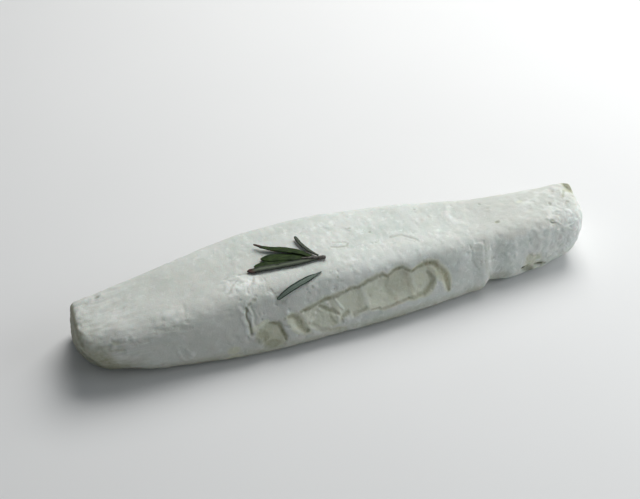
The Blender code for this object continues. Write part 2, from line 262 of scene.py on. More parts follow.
class Side(Enum):
    """The side of the log that a mark is on, with the two axes that it is measured along."""

    FRONT = (0, 2)
    TOP = (0, 1)

    def facing(self, skin: Skin) -> np.ndarray:
        """How far each point belongs to this side.

        Args:
            skin: The rind.

        Returns:
            0 away from the side and 1 on it.
        """
        if self is Side.FRONT:
            return FRONT_FACING.at(skin.normals[:, 1])
        return TOP_FACING.at(skin.normals[:, 2])

    def places(self, skin: Skin) -> tuple[np.ndarray, np.ndarray]:
        """The points' two places on this side, in millimetres.

        Args:
            skin: The rind.

        Returns:
            The places along the log and across it.
        """
        first, second = self.value
        return skin.points[:, first] / MM, skin.points[:, second] / MM


def from_segment(x: np.ndarray, y: np.ndarray, start: tuple, end: tuple) -> tuple[np.ndarray, np.ndarray]:
    """Distance from a straight piece of line.

    Args:
        x: Places along.
        y: Places across.
        start: First end of the piece.
        end: Its other end.

    Returns:
        The distances, and the share of the piece's length that each nearest point lies at.
    """
    run_x, run_y = end[0] - start[0], end[1] - start[1]
    share = np.clip(((x - start[0]) * run_x + (y - start[1]) * run_y) / (run_x**2 + run_y**2), 0.0, 1.0)
    return np.hypot(x - start[0] - share * run_x, y - start[1] - share * run_y), share


@dataclass(frozen=True)
class Field:
    """A field where the white rind is rubbed off, by its outline in millimetres on the front."""

    outline: tuple
    depth: float
    olive: float
    edge: float = 1.0
    stain: float = 0.0

    def inside(self, x: np.ndarray, z: np.ndarray) -> np.ndarray:
        """Distance to the outline.

        Args:
            x: Places along the log.
            z: Heights.

        Returns:
            The distances in millimetres, positive inside.
        """
        least = np.full(len(x), FAR)
        within = np.zeros(len(x), bool)
        for start, end in zip(self.outline, self.outline[1:] + self.outline[:1]):
            least = np.minimum(least, from_segment(x, z, start, end)[0])
            if start[1] != end[1]:
                slope = (end[0] - start[0]) / (end[1] - start[1])
                within ^= ((start[1] > z) != (end[1] > z)) & (x < start[0] + slope * (z - start[1]))
        return np.where(within, least, -least)


@dataclass(frozen=True)
class Stroke:
    """A line in the rind, such as a crease, crack, ridge or rubbed hook, in millimetres on its side."""

    side: Side
    line: tuple
    half: float
    depth: float
    stain: float = 0.0
    chalk: float = 0.0
    olive: float = 0.0
    brown: float = 0.0
    lip: float = 0.0

    def reach(self, along: np.ndarray, across: np.ndarray) -> np.ndarray:
        """Distance from the line, whose points may each give a share of the half width.

        Args:
            along: Places along the log.
            across: Places across it.

        Returns:
            0 on the line and 1 at the edge of the stroke.
        """
        least = np.full(len(along), FAR)
        for start, end in zip(self.line, self.line[1:]):
            gap, share = from_segment(along, across, start, end)
            first = start[2] if len(start) > 2 else 1.0
            last = end[2] if len(end) > 2 else 1.0
            least = np.minimum(least, gap / (self.half * (first + (last - first) * share)))
        return least

    def smallest(self) -> float:
        """Half width."""
        return self.half


@dataclass(frozen=True)
class Blot:
    """A round or oval patch that changes the rind's height or colour, in millimetres on its side."""

    side: Side
    x: float
    y: float
    half_x: float
    half_y: float
    depth: float = 0.0
    stain: float = 0.0
    chalk: float = 0.0
    olive: float = 0.0
    brown: float = 0.0

    def reach(self, along: np.ndarray, across: np.ndarray) -> np.ndarray:
        """Distance from the middle.

        Args:
            along: Places along the log.
            across: Places across it.

        Returns:
            0 in the middle and 1 at the edge of the blot.
        """
        return from_oval(along, across, (self.x, self.y), (self.half_x, self.half_y))

    def smallest(self) -> float:
        """Smaller half width."""
        return min(self.half_x, self.half_y)


@dataclass(frozen=True)
class Veil:
    """A pattern over a colour: lump width in metres, fineness, the range that shows, and its strength."""

    size: float
    detail: float
    rough: float
    low: float
    high: float
    share: float


class Board:
    """The node board of one finish, with short calls for the nodes that it uses."""

    def __init__(self, name: str) -> None:
        """Open a new material.

        Args:
            name: The material's name.
        """
        self.material = bpy.data.materials.new(name)
        self.material.use_nodes = True
        self.nodes = self.material.node_tree.nodes
        self.links = self.material.node_tree.links
        self.shader = self.nodes["Principled BSDF"]
        self.places = self.add("ShaderNodeTexCoord").outputs["Object"]

    def add(self, kind: str, **settings: object) -> bpy.types.Node:
        """Add a node.

        Args:
            kind: Its type.
            **settings: Its properties.

        Returns:
            The node.
        """
        node = self.nodes.new(kind)
        for name, value in settings.items():
            setattr(node, name, value)
        return node

    def feed(self, socket: bpy.types.NodeSocket, value: Value) -> None:
        """Link or set an input.

        Args:
            socket: The input.
            value: Another node's output, a number or a colour.
        """
        if isinstance(value, bpy.types.NodeSocket):
            self.links.new(value, socket)
        elif isinstance(value, tuple):
            socket.default_value = (*value, 1.0) if len(socket.default_value) == 4 else value
        else:
            socket.default_value = value

    def attribute(self, name: str) -> bpy.types.NodeSocket:
        """Output of a number painted on the piece."""
        return self.add("ShaderNodeAttribute", attribute_name=name).outputs["Fac"]

    def grain(self, size: float, detail: float = 2.0, rough: float = 0.5,
              stretch: Optional[Colour] = None) -> bpy.types.NodeSocket:
        """Noise on the piece's own coordinates.

        Args:
            size: Width of one lump, in metres.
            detail: Finer layers added.
            rough: Strength of the finer layers.
            stretch: Lump width along each axis, in sizes.

        Returns:
            Output of about 0 to 1.
        """
        places = self.places
        if stretch is not None:
            mapping = self.add("ShaderNodeMapping")
            self.feed(mapping.inputs["Vector"], places)
            self.feed(mapping.inputs["Scale"], tuple(1 / part for part in stretch))
            places = mapping.outputs["Vector"]
        node = self.add("ShaderNodeTexNoise")
        self.feed(node.inputs["Vector"], places)
        self.feed(node.inputs["Scale"], 1 / size)
        self.feed(node.inputs["Detail"], detail)
        self.feed(node.inputs["Roughness"], rough)
        return node.outputs["Fac"]

    def span(self, value: Value, low: float, high: float, start: float = 0.0,
             end: float = 1.0) -> bpy.types.NodeSocket:
        """Spread a range of a value smoothly over another.

        Args:
            value: The value.
            low: Where the range starts.
            high: Where it ends.
            start: Result at its start.
            end: Result at its end.

        Returns:
            The spread value.
        """
        node = self.add("ShaderNodeMapRange", interpolation_type="SMOOTHSTEP")
        for socket, number in zip(node.inputs, (value, low, high, start, end)):
            self.feed(socket, number)
        return node.outputs["Result"]

    def sum(self, operation: str, first: Value, second: Value) -> bpy.types.NodeSocket:
        """Work out one value from two.

        Args:
            operation: Name of the sum, such as MULTIPLY or ADD.
            first: First value.
            second: Second value.

        Returns:
            The result.
        """
        node = self.add("ShaderNodeMath", operation=operation)
        self.feed(node.inputs[0], first)
        self.feed(node.inputs[1], second)
        return node.outputs["Value"]

    def times(self, first: Value, second: Value) -> bpy.types.NodeSocket:
        """Product of two values."""
        return self.sum("MULTIPLY", first, second)

    def veil(self, veil: Veil) -> bpy.types.NodeSocket:
        """Share of a veil's colour."""
        lumps = self.grain(veil.size, veil.detail, veil.rough)
        return self.times(self.span(lumps, veil.low, veil.high), veil.share)

    def mix(self, share: Value, first: Value, second: Value) -> bpy.types.NodeSocket:
        """Mix two colours.

        Args:
            share: Share of the second colour.
            first: First colour.
            second: Second colour.

        Returns:
            The mixed colour.
        """
        node = self.add("ShaderNodeMix", data_type="RGBA")
        for index, value in zip(MIX_INPUTS, (share, first, second)):
            self.feed(node.inputs[index], value)
        return node.outputs[MIX_OUTPUT]

    def bump(self, height: Value, distance: float, strength: float = 1.0) -> None:
        """Give the surface a fine relief.

        Args:
            height: Height pattern of 0 to 1.
            distance: Height of the relief, in metres.
            strength: Share of it that shows.
        """
        node = self.add("ShaderNodeBump")
        self.feed(node.inputs["Strength"], strength)
        self.feed(node.inputs["Distance"], distance)
        self.feed(node.inputs["Height"], height)
        self.feed(self.shader.inputs["Normal"], node.outputs["Normal"])

    def close(self, colour: Value, roughness: Value, **settings: float) -> bpy.types.Material:
        """Connect the shader.

        Args:
            colour: Base colour.
            roughness: Roughness.
            **settings: Plain numbers for other sockets, with _ for a space.

        Returns:
            The finished material.
        """
        self.feed(self.shader.inputs["Base Color"], colour)
        self.feed(self.shader.inputs["Roughness"], roughness)
        for name, value in settings.items():
            self.feed(self.shader.inputs[name.replace("_", " ")], value)
        return self.material


@dataclass(frozen=True)
class RindFinish:
    """Dry white mould rind, with faint grey-green clouds, rubbed olive-cream fields, olive stains, and painted
    shade and highlights.
    """

    white: Colour = (0.640, 0.665, 0.630)
    cloud: Colour = (0.545, 0.590, 0.545)
    cream: Colour = (0.628, 0.643, 0.505)
    olive: Colour = (0.190, 0.187, 0.102)
    chalk: Colour = (0.840, 0.868, 0.840)
    brown: Colour = (0.300, 0.205, 0.130)
    painted_shade_tone: Colour = (0.490, 0.495, 0.455)
    deep: Colour = (0.060, 0.062, 0.045)
    clouds: Veil = Veil(0.011, 4.0, 0.62, 0.42, 0.70, 0.8)
    freckles: Veil = Veil(0.0019, 3.0, 0.6, 0.58, 0.70, 0.75)
    bloom: Veil = Veil(0.0034, 4.0, 0.62, 0.55, 0.68, 0.45)
    deep_from: float = 0.84
    dry: float = 0.82
    greasy: float = 0.52
    fuzz: float = 0.00022
    fuzz_strength: float = 0.8
    coarse_share: float = 0.7
    fine_share: float = 0.3

    def make(self) -> bpy.types.Material:
        """Build the material.

        Returns:
            The rind's material.
        """
        board = Board("white_rind")
        colour = board.mix(board.veil(self.clouds), self.white, self.cloud)
        colour = board.mix(board.veil(self.freckles), colour, self.cloud)
        colour = board.mix(board.veil(self.bloom), colour, self.chalk)
        # Painted shade: greyer colour where less light falls
        colour = board.mix(board.attribute("painted_shade"), colour, self.painted_shade_tone)
        rubbed = board.attribute("rubbed")
        uneven = board.span(board.grain(0.0016, detail=3.0, rough=0.6), low=0.25, high=0.75, start=0.65)
        colour = board.mix(board.times(rubbed, uneven), colour, self.cream)
        # White chalk for crumbs, lumps and ridges, and painted highlights on the right end's rim, the shoulder
        # and beside the step
        colour = board.mix(board.attribute("chalk_and_highlight"), colour, self.chalk)
        # Olive stains, with painted shade at the left end, the lower left corner, the foot, under the fields'
        # upper edges, on their walls and in hollows
        stained_and_shaded = board.attribute("stained_and_shaded")
        colour = board.mix(board.times(stained_and_shaded, uneven), colour, self.olive)
        # Near-black at the strongest stain: painted shade inside the crack and the chip's nick and slit
        colour = board.mix(board.span(stained_and_shaded, self.deep_from, 1.0), colour, self.deep)
        colour = board.mix(board.times(board.attribute("browned"), uneven), colour, self.brown)
        roughness = board.span(rubbed, 0.0, 1.0, self.dry, self.greasy)
        coarse = board.times(board.grain(0.0007, detail=4.0, rough=0.65), self.coarse_share)
        fine = board.times(board.grain(0.00022, detail=2.0), self.fine_share)
        board.bump(board.sum("ADD", coarse, fine), self.fuzz, self.fuzz_strength)
        return board.close(colour, roughness, Subsurface_Weight=0.12, Subsurface_Scale=0.002,
                           Specular_IOR_Level=0.35)


@dataclass(frozen=True)
class LeafFinish:
    """A rosemary needle: dark green above, grey felt below, and a browner tip."""

    name: str
    green: Colour = (0.012, 0.024, 0.007)
    light: Colour = (0.030, 0.052, 0.011)
    felt: Colour = (0.160, 0.188, 0.150)
    tip: Colour = (0.050, 0.026, 0.022)
    gloss: float = 0.55
    matt: float = 0.9
    edge_share: float = 0.55
    grooves: float = 0.00008
    groove_strength: float = 0.7

    def make(self) -> bpy.types.Material:
        """Build the material.

        Returns:
            The needle's material.
        """
        board = Board(self.name)
        streaks = board.grain(0.0009, detail=3.0, rough=0.6, stretch=(3.0, 1.0, 1.0))
        colour = board.mix(board.span(streaks, low=0.35, high=0.70), self.green, self.light)
        colour = board.mix(board.times(board.attribute("edged"), self.edge_share), colour, self.light)
        fibres = board.span(board.grain(0.00035, detail=3.0, rough=0.6), low=0.30, high=0.65, start=0.55)
        felted = board.attribute("felted")
        colour = board.mix(board.times(felted, fibres), colour, self.felt)
        colour = board.mix(board.attribute("tipped"), colour, self.tip)
        board.bump(board.grain(0.00030, detail=3.0, rough=0.6), self.grooves, self.groove_strength)
        roughness = board.span(felted, 0.0, 1.0, self.gloss, self.matt)
        return board.close(colour, roughness, Specular_IOR_Level=0.10)


@dataclass(frozen=True)
class StemFinish:
    """The sprig's woody stem: grey-brown bark with a dark cut end."""

    bark: Colour = (0.085, 0.075, 0.065)
    pale: Colour = (0.190, 0.185, 0.165)
    cut: Colour = (0.060, 0.045, 0.040)

    def make(self) -> bpy.types.Material:
        """Build the material.

        Returns:
            The stem's material.
        """
        board = Board("woody_stem")
        bark = board.grain(0.0005, detail=3.0, rough=0.6, stretch=(5.0, 1.0, 1.0))
        streaks = board.span(bark, low=0.40, high=0.65)
        colour = board.mix(streaks, self.bark, self.pale)
        colour = board.mix(board.attribute("cut"), colour, self.cut)
        board.bump(streaks, 0.0001, strength=0.8)
        return board.close(colour, roughness=0.8, Specular_IOR_Level=0.3)


@dataclass(frozen=True)
class FloorFinish:
    """Plain pale matt floor with hardly visible unevenness."""

    pale: Colour = (0.72, 0.72, 0.72)
    paler: Colour = (0.74, 0.74, 0.74)

    def make(self) -> bpy.types.Material:
        """Build the material.

        Returns:
            The floor's material.
        """
        board = Board("pale_floor")
        colour = board.mix(board.grain(0.08), self.pale, self.paler)
        return board.close(colour, roughness=0.9, Specular_IOR_Level=0.2)


FRONT = Side.FRONT
TOP = Side.TOP

FIELDS = (
    # Dark leftmost field
    Field(((-45.2, 14.6), (-43.5, 15.4), (-41.8, 15.9), (-38.8, 15.9), (-37.0, 15.2), (-36.2, 13.2),
           (-35.4, 11.4), (-35.2, 9.5), (-35.6, 7.4), (-37.0, 5.6), (-39.0, 4.6), (-41.4, 4.4), (-43.2, 5.2),
           (-44.5, 7.8), (-45.3, 9.8), (-47.3, 11.4), (-47.8, 12.8), (-47.0, 13.9)), 0.22, 1.0, 1.8, 0.26),
    # Field of the slanted bar
    Field(((-33.6, 16.2), (-30.0, 16.6), (-28.6, 14.2), (-26.4, 11.2), (-26.0, 9.4), (-28.2, 8.8),
           (-30.8, 11.0), (-32.6, 13.6)), 0.08, 0.9, 2.2, 0.10),
    # The long run of fields up to the hook
    Field(((-28.2, 15.4), (-26.0, 17.2), (-20.5, 17.9), (-16.6, 19.3), (-11.3, 19.4), (-5.4, 20.6),
           (-1.7, 20.3), (3.2, 22.0), (7.1, 22.5), (10.0, 22.7), (12.0, 22.1), (13.8, 22.6), (16.0, 23.6),
           (19.6, 23.8), (21.4, 22.8), (23.3, 21.2), (27.0, 22.2), (30.6, 22.0), (32.0, 19.2), (32.8, 16.4),
           (32.2, 14.0), (30.0, 12.4), (27.0, 11.0), (22.5, 11.3), (17.1, 11.2), (11.7, 10.8), (7.4, 10.9),
           (2.8, 11.4), (-1.0, 11.4), (-5.0, 10.9), (-9.4, 11.6), (-11.4, 9.4), (-15.0, 8.6), (-20.0, 9.2),
           (-24.0, 11.0), (-27.2, 12.4)), 0.24, 0.8, 2.2),
)

STROKES = (
    # Hook that closes the rubbed run at its right end, with the cream inside it and its pale edge
    Stroke(FRONT, ((23.9, 21.5, 0.5), (27.5, 22.4, 0.6), (30.1, 23.0, 0.65), (32.5, 22.9, 0.75),
                   (34.9, 21.6, 0.9), (36.7, 19.0, 1.05), (38.0, 16.6, 1.15), (38.7, 14.0, 1.05),
                   (38.9, 12.0, 0.85), (39.2, 10.4, 0.55)), 1.9, 0.45, 0.80, olive=1.0, brown=0.10),
    Stroke(FRONT, ((28.6, 21.2, 0.6), (32.1, 20.5), (34.2, 18.5), (35.5, 16.0, 0.7)), 1.7, 0.08, olive=1.0),
    Stroke(FRONT, ((33.8, 15.6), (36.1, 13.4), (37.5, 10.4)), 1.1, -0.10, chalk=0.22),
    # Ring round the last field
    Stroke(FRONT, ((30.4, 19.1, 0.7), (32.0, 16.9), (32.0, 15.1), (30.1, 13.2), (27.2, 11.6, 0.8),
                   (22.5, 11.6, 0.8), (20.1, 11.9, 0.6)), 1.7, 0.20, 0.62, olive=0.9),
    Stroke(FRONT, ((22.1, 15.8), (22.7, 14.2), (24.2, 12.4)), 1.0, 0.12, 0.26, olive=0.6),
    # Dark line under the rind's upper edge, field by field: olive stain and painted shadow under the rind's
    # lip
    Stroke(FRONT, ((-27.7, 17.4, 0.6), (-24.2, 17.6), (-20.5, 18.2), (-16.6, 19.6), (-11.3, 19.6),
                   (-5.4, 20.9), (-1.7, 20.5), (0.6, 21.4), (3.2, 22.3), (7.1, 22.7), (10.0, 22.9),
                   (11.6, 21.8), (12.2, 21.6, 0.8)), 1.15, 0.30, 0.78, olive=0.6),
    Stroke(FRONT, ((12.2, 21.8, 0.8), (14.0, 22.8), (16.5, 23.6), (19.8, 23.7), (21.9, 22.3),
                   (23.6, 21.2, 0.8)), 1.15, 0.30, 0.76, olive=0.6),
    # Dark line along the lower edge, and the dark spots that it ends in
    Stroke(FRONT, ((2.8, 11.8, 0.6), (7.4, 11.1), (11.7, 11.0), (14.5, 11.6, 1.2), (17.1, 11.4),
                   (20.0, 11.8)), 0.8, 0.20, 0.42, olive=0.5, brown=0.25),
    Stroke(FRONT, ((-9.9, 12.0), (-7.4, 12.2)), 1.1, 0.25, 0.58),
    Stroke(FRONT, ((-4.8, 11.2, 1.1), (-2.2, 11.6, 0.9), (0.3, 12.6, 1.1)), 0.95, 0.22, 0.52, olive=0.5),
    # Shaded side and dark walls between the fields, painted dark as shade, and the pale ridge
    Stroke(FRONT, ((-2.2, 19.6), (-1.6, 16.2), (-2.4, 13.8)), 1.7, 0.08, 0.22, olive=0.6),
    Stroke(FRONT, ((0.5, 20.2), (1.0, 16.9), (1.5, 14.4, 1.3)), 1.5, -0.16, chalk=0.26),
    Stroke(FRONT, ((11.7, 20.7), (11.2, 18.2), (11.9, 15.7), (13.3, 13.9)), 1.9, 0.12, 0.40, olive=0.6),
    Stroke(FRONT, ((20.3, 21.2), (21.1, 18.8), (21.1, 16.7), (21.4, 14.4)), 2.2, 0.08, 0.40, brown=0.14),
    # Slanted bar: its dark right side, its green foot and the pale strip beside it
    Stroke(FRONT, ((-33.4, 16.0, 0.4), (-31.6, 16.2, 0.6), (-30.0, 15.0, 0.9), (-28.9, 13.2, 1.1),
                   (-27.6, 11.4, 1.15), (-26.6, 10.2, 1.0)), 2.1, 0.26, 0.59, olive=0.9, brown=0.08),
    Stroke(FRONT, ((-33.2, 14.6), (-31.8, 12.4), (-30.2, 10.2)), 0.9, -0.06, chalk=0.10, olive=0.8),
    Stroke(FRONT, ((-27.0, 15.8), (-26.0, 14.3), (-24.6, 12.0)), 1.2, -0.12, chalk=0.25, olive=0.8),
    # Dark right edge and foot of the leftmost field, and the tail that ties it to the crack
    Stroke(FRONT, ((-41.4, 15.4, 0.6), (-37.4, 14.8), (-36.4, 12.4), (-35.7, 9.6, 1.1), (-35.9, 7.8, 0.6)),
           1.35, 0.34, 0.88),
    Stroke(FRONT, ((-45.0, 10.3, 0.6), (-44.1, 7.7, 1.1), (-42.8, 5.4)), 1.3, 0.20, 0.62),
    Stroke(FRONT, ((-49.9, 16.4, 0.7), (-49.5, 15.0), (-49.4, 13.7)), 0.9, 0.30, 0.62),
    Stroke(FRONT, ((-48.8, 15.0), (-46.7, 15.3), (-44.0, 16.2), (-41.8, 16.5)), 0.8, -0.12, chalk=0.12,
           olive=0.9),
    # Torn rind in the crumbled field: dark folds, white crumbs and thin ridges
    Stroke(FRONT, ((-19.2, 16.9, 0.7), (-16.7, 15.4), (-14.0, 14.5), (-12.0, 13.1, 0.6)), 1.5, 0.34, 0.66,
           lip=0.15),
    Stroke(FRONT, ((-12.5, 18.9, 0.6), (-11.3, 16.9), (-10.1, 15.5), (-9.0, 14.0, 0.6)), 0.75, -0.28,
           chalk=0.60),
    Stroke(FRONT, ((-15.3, 14.0), (-15.1, 11.5), (-13.8, 10.0)), 1.0, 0.16, 0.44, olive=0.6),
    Stroke(FRONT, ((-12.7, 13.6), (-12.0, 12.0), (-12.2, 9.7)), 0.65, -0.20, chalk=0.45),
    Stroke(FRONT, ((-10.7, 11.7), (-10.5, 9.5)), 0.65, 0.24, 0.50),
    # Painted shade: soft dark band below the crumbled field, with an olive edge
    Stroke(FRONT, ((-24.5, 12.4), (-20.5, 9.0), (-16.2, 7.2), (-13.0, 7.0), (-10.1, 5.6)), 1.2, 0.22, 0.36,
           olive=0.6),
    Stroke(FRONT, ((-23.4, 8.0), (-20.6, 7.0)), 0.9, -0.25, chalk=0.40),
    # Crack left of the run, painted dark as shade in the crack, with its pale left lip, its curled top, the
    # raised strip right of it and painted shade beside that strip
    Stroke(FRONT, ((-49.8, 23.5, 1.1), (-49.6, 22.4, 1.3), (-50.2, 21.3, 0.7), (-50.3, 19.7, 1.0),
                   (-49.8, 18.6, 1.2), (-49.4, 16.9, 0.8), (-49.5, 15.5, 0.6), (-49.4, 13.8, 0.7)), 0.65,
           0.55, 0.90),
    Stroke(FRONT, ((-52.4, 23.8), (-51.1, 21.8), (-52.3, 20.1), (-51.4, 16.9), (-51.1, 14.5)), 1.1, -0.24,
           chalk=0.26),
    Stroke(FRONT, ((-49.9, 24.0), (-49.2, 24.8), (-47.5, 25.4), (-45.6, 25.9), (-44.3, 25.2)), 0.8, -0.25,
           chalk=0.30),
    Stroke(FRONT, ((-48.6, 22.6), (-47.9, 21.0), (-48.4, 18.0), (-48.3, 16.2)), 0.85, -0.26, chalk=0.12),
    Stroke(FRONT, ((-47.4, 22.9), (-46.9, 21.0), (-46.7, 19.2), (-47.2, 17.2)), 0.85, 0.20, 0.16),
    Stroke(FRONT, ((-39.1, 26.8), (-37.2, 25.7), (-36.4, 24.1), (-37.2, 21.9)), 0.9, 0.22, 0.08),
    # Crease of the set-back step, and the squarish lump left of it
    Stroke(FRONT, ((58.6, 25.0, 0.5), (58.2, 19.1, 0.9), (59.1, 12.7), (61.0, 8.0, 1.2), (62.2, 3.0, 1.2)),
           1.6, 0.10, 0.26),
    Stroke(FRONT, ((51.5, 24.3), (54.3, 23.8), (56.6, 24.0)), 0.9, 0.16, 0.14),
    Stroke(FRONT, ((51.5, 23.4), (51.2, 19.6), (52.6, 16.6), (54.4, 14.9)), 0.9, 0.22, 0.18),
    Stroke(FRONT, ((52.4, 21.8), (55.8, 20.7)), 0.8, 0.12, 0.10),
    # Nick and slit in the chip low on the right, painted near-black as shade inside them
    Stroke(FRONT, ((77.6, 7.6, 0.6), (79.6, 6.4, 1.3), (81.8, 4.6, 1.3), (83.4, 2.8, 0.8)), 2.2, 0.80, 1.0),
    Stroke(FRONT, ((84.4, 6.9, 0.6), (86.6, 6.0, 1.2), (88.2, 5.6, 1.3), (90.4, 4.4, 0.8)), 1.3, 0.50, 0.95),
    Stroke(FRONT, ((80.6, 13.6), (84.6, 12.0)), 0.8, 0.22, 0.40, olive=0.6),
    # Fine streaks on the left shoulder
    Stroke(FRONT, ((-103.3, 22.4), (-97.0, 22.1), (-90.4, 21.2)), 0.8, 0.22, 0.20),
    Stroke(FRONT, ((-108.7, 20.0), (-105.4, 19.6), (-100.5, 19.4)), 0.9, 0.22, 0.26, olive=0.4),
    Stroke(FRONT, ((-86.6, 23.9), (-83.0, 23.3), (-78.8, 23.4), (-73.0, 22.0)), 1.0, 0.20, 0.14),
    Stroke(FRONT, ((-80.0, 13.2), (-77.6, 8.0)), 0.9, -0.26, chalk=0.18),
    Stroke(FRONT, ((-76.2, 13.0), (-74.2, 9.6)), 0.9, -0.26, chalk=0.18),
    # Short wrinkles on top
    Stroke(TOP, ((-6.4, -2.2), (-3.0, -3.2), (-0.1, -3.4), (1.1, -1.9)), 0.65, 0.24, 0.40),
    Stroke(TOP, ((-4.8, 0.2), (0.2, -1.1)), 0.6, 0.22, 0.28),
    Stroke(TOP, ((20.0, -4.6), (25.3, -5.3), (29.9, -10.3)), 0.9, 0.26, 0.26),
    Stroke(TOP, ((-73.5, -12.6), (-73.8, -15.4), (-74.6, -18.0)), 1.0, 0.26, 0.12),
    Stroke(TOP, ((-48.2, -4.8), (-45.0, -5.3)), 0.55, 0.20, 0.50),
    # Creases of the crumpled rind left of the sprig's tips
    Stroke(TOP, ((-49.6, -7.8, 0.6), (-50.8, -9.0), (-52.4, -10.4), (-53.6, -12.0), (-54.8, -13.2, 1.2)),
           0.7, 0.22, 0.30),
    Stroke(TOP, ((-42.8, -8.2, 0.6), (-43.6, -9.6), (-44.9, -11.6), (-46.4, -13.6, 0.8)), 0.75, 0.22, 0.26),
    Stroke(TOP, ((-48.0, -9.4), (-49.9, -10.4)), 0.7, 0.12, 0.20),
    Stroke(TOP, ((-55.4, -12.0), (-54.6, -8.4), (-52.6, -6.6), (-49.0, -5.9)), 1.3, -0.20, chalk=0.40),
    Stroke(TOP, ((-41.4, -7.8), (-42.0, -10.2), (-43.8, -13.0)), 1.5, -0.24, chalk=0.50),
    Stroke(TOP, ((-54.6, -14.4), (-50.0, -14.6), (-46.6, -15.6)), 1.3, -0.16, chalk=0.40),
    # Faint crescent on the right half of the top
    Stroke(TOP, ((52.5, 5.5), (49.8, 1.0), (50.6, -4.5), (53.4, -6.4)), 1.9, -0.18, chalk=0.40),
)

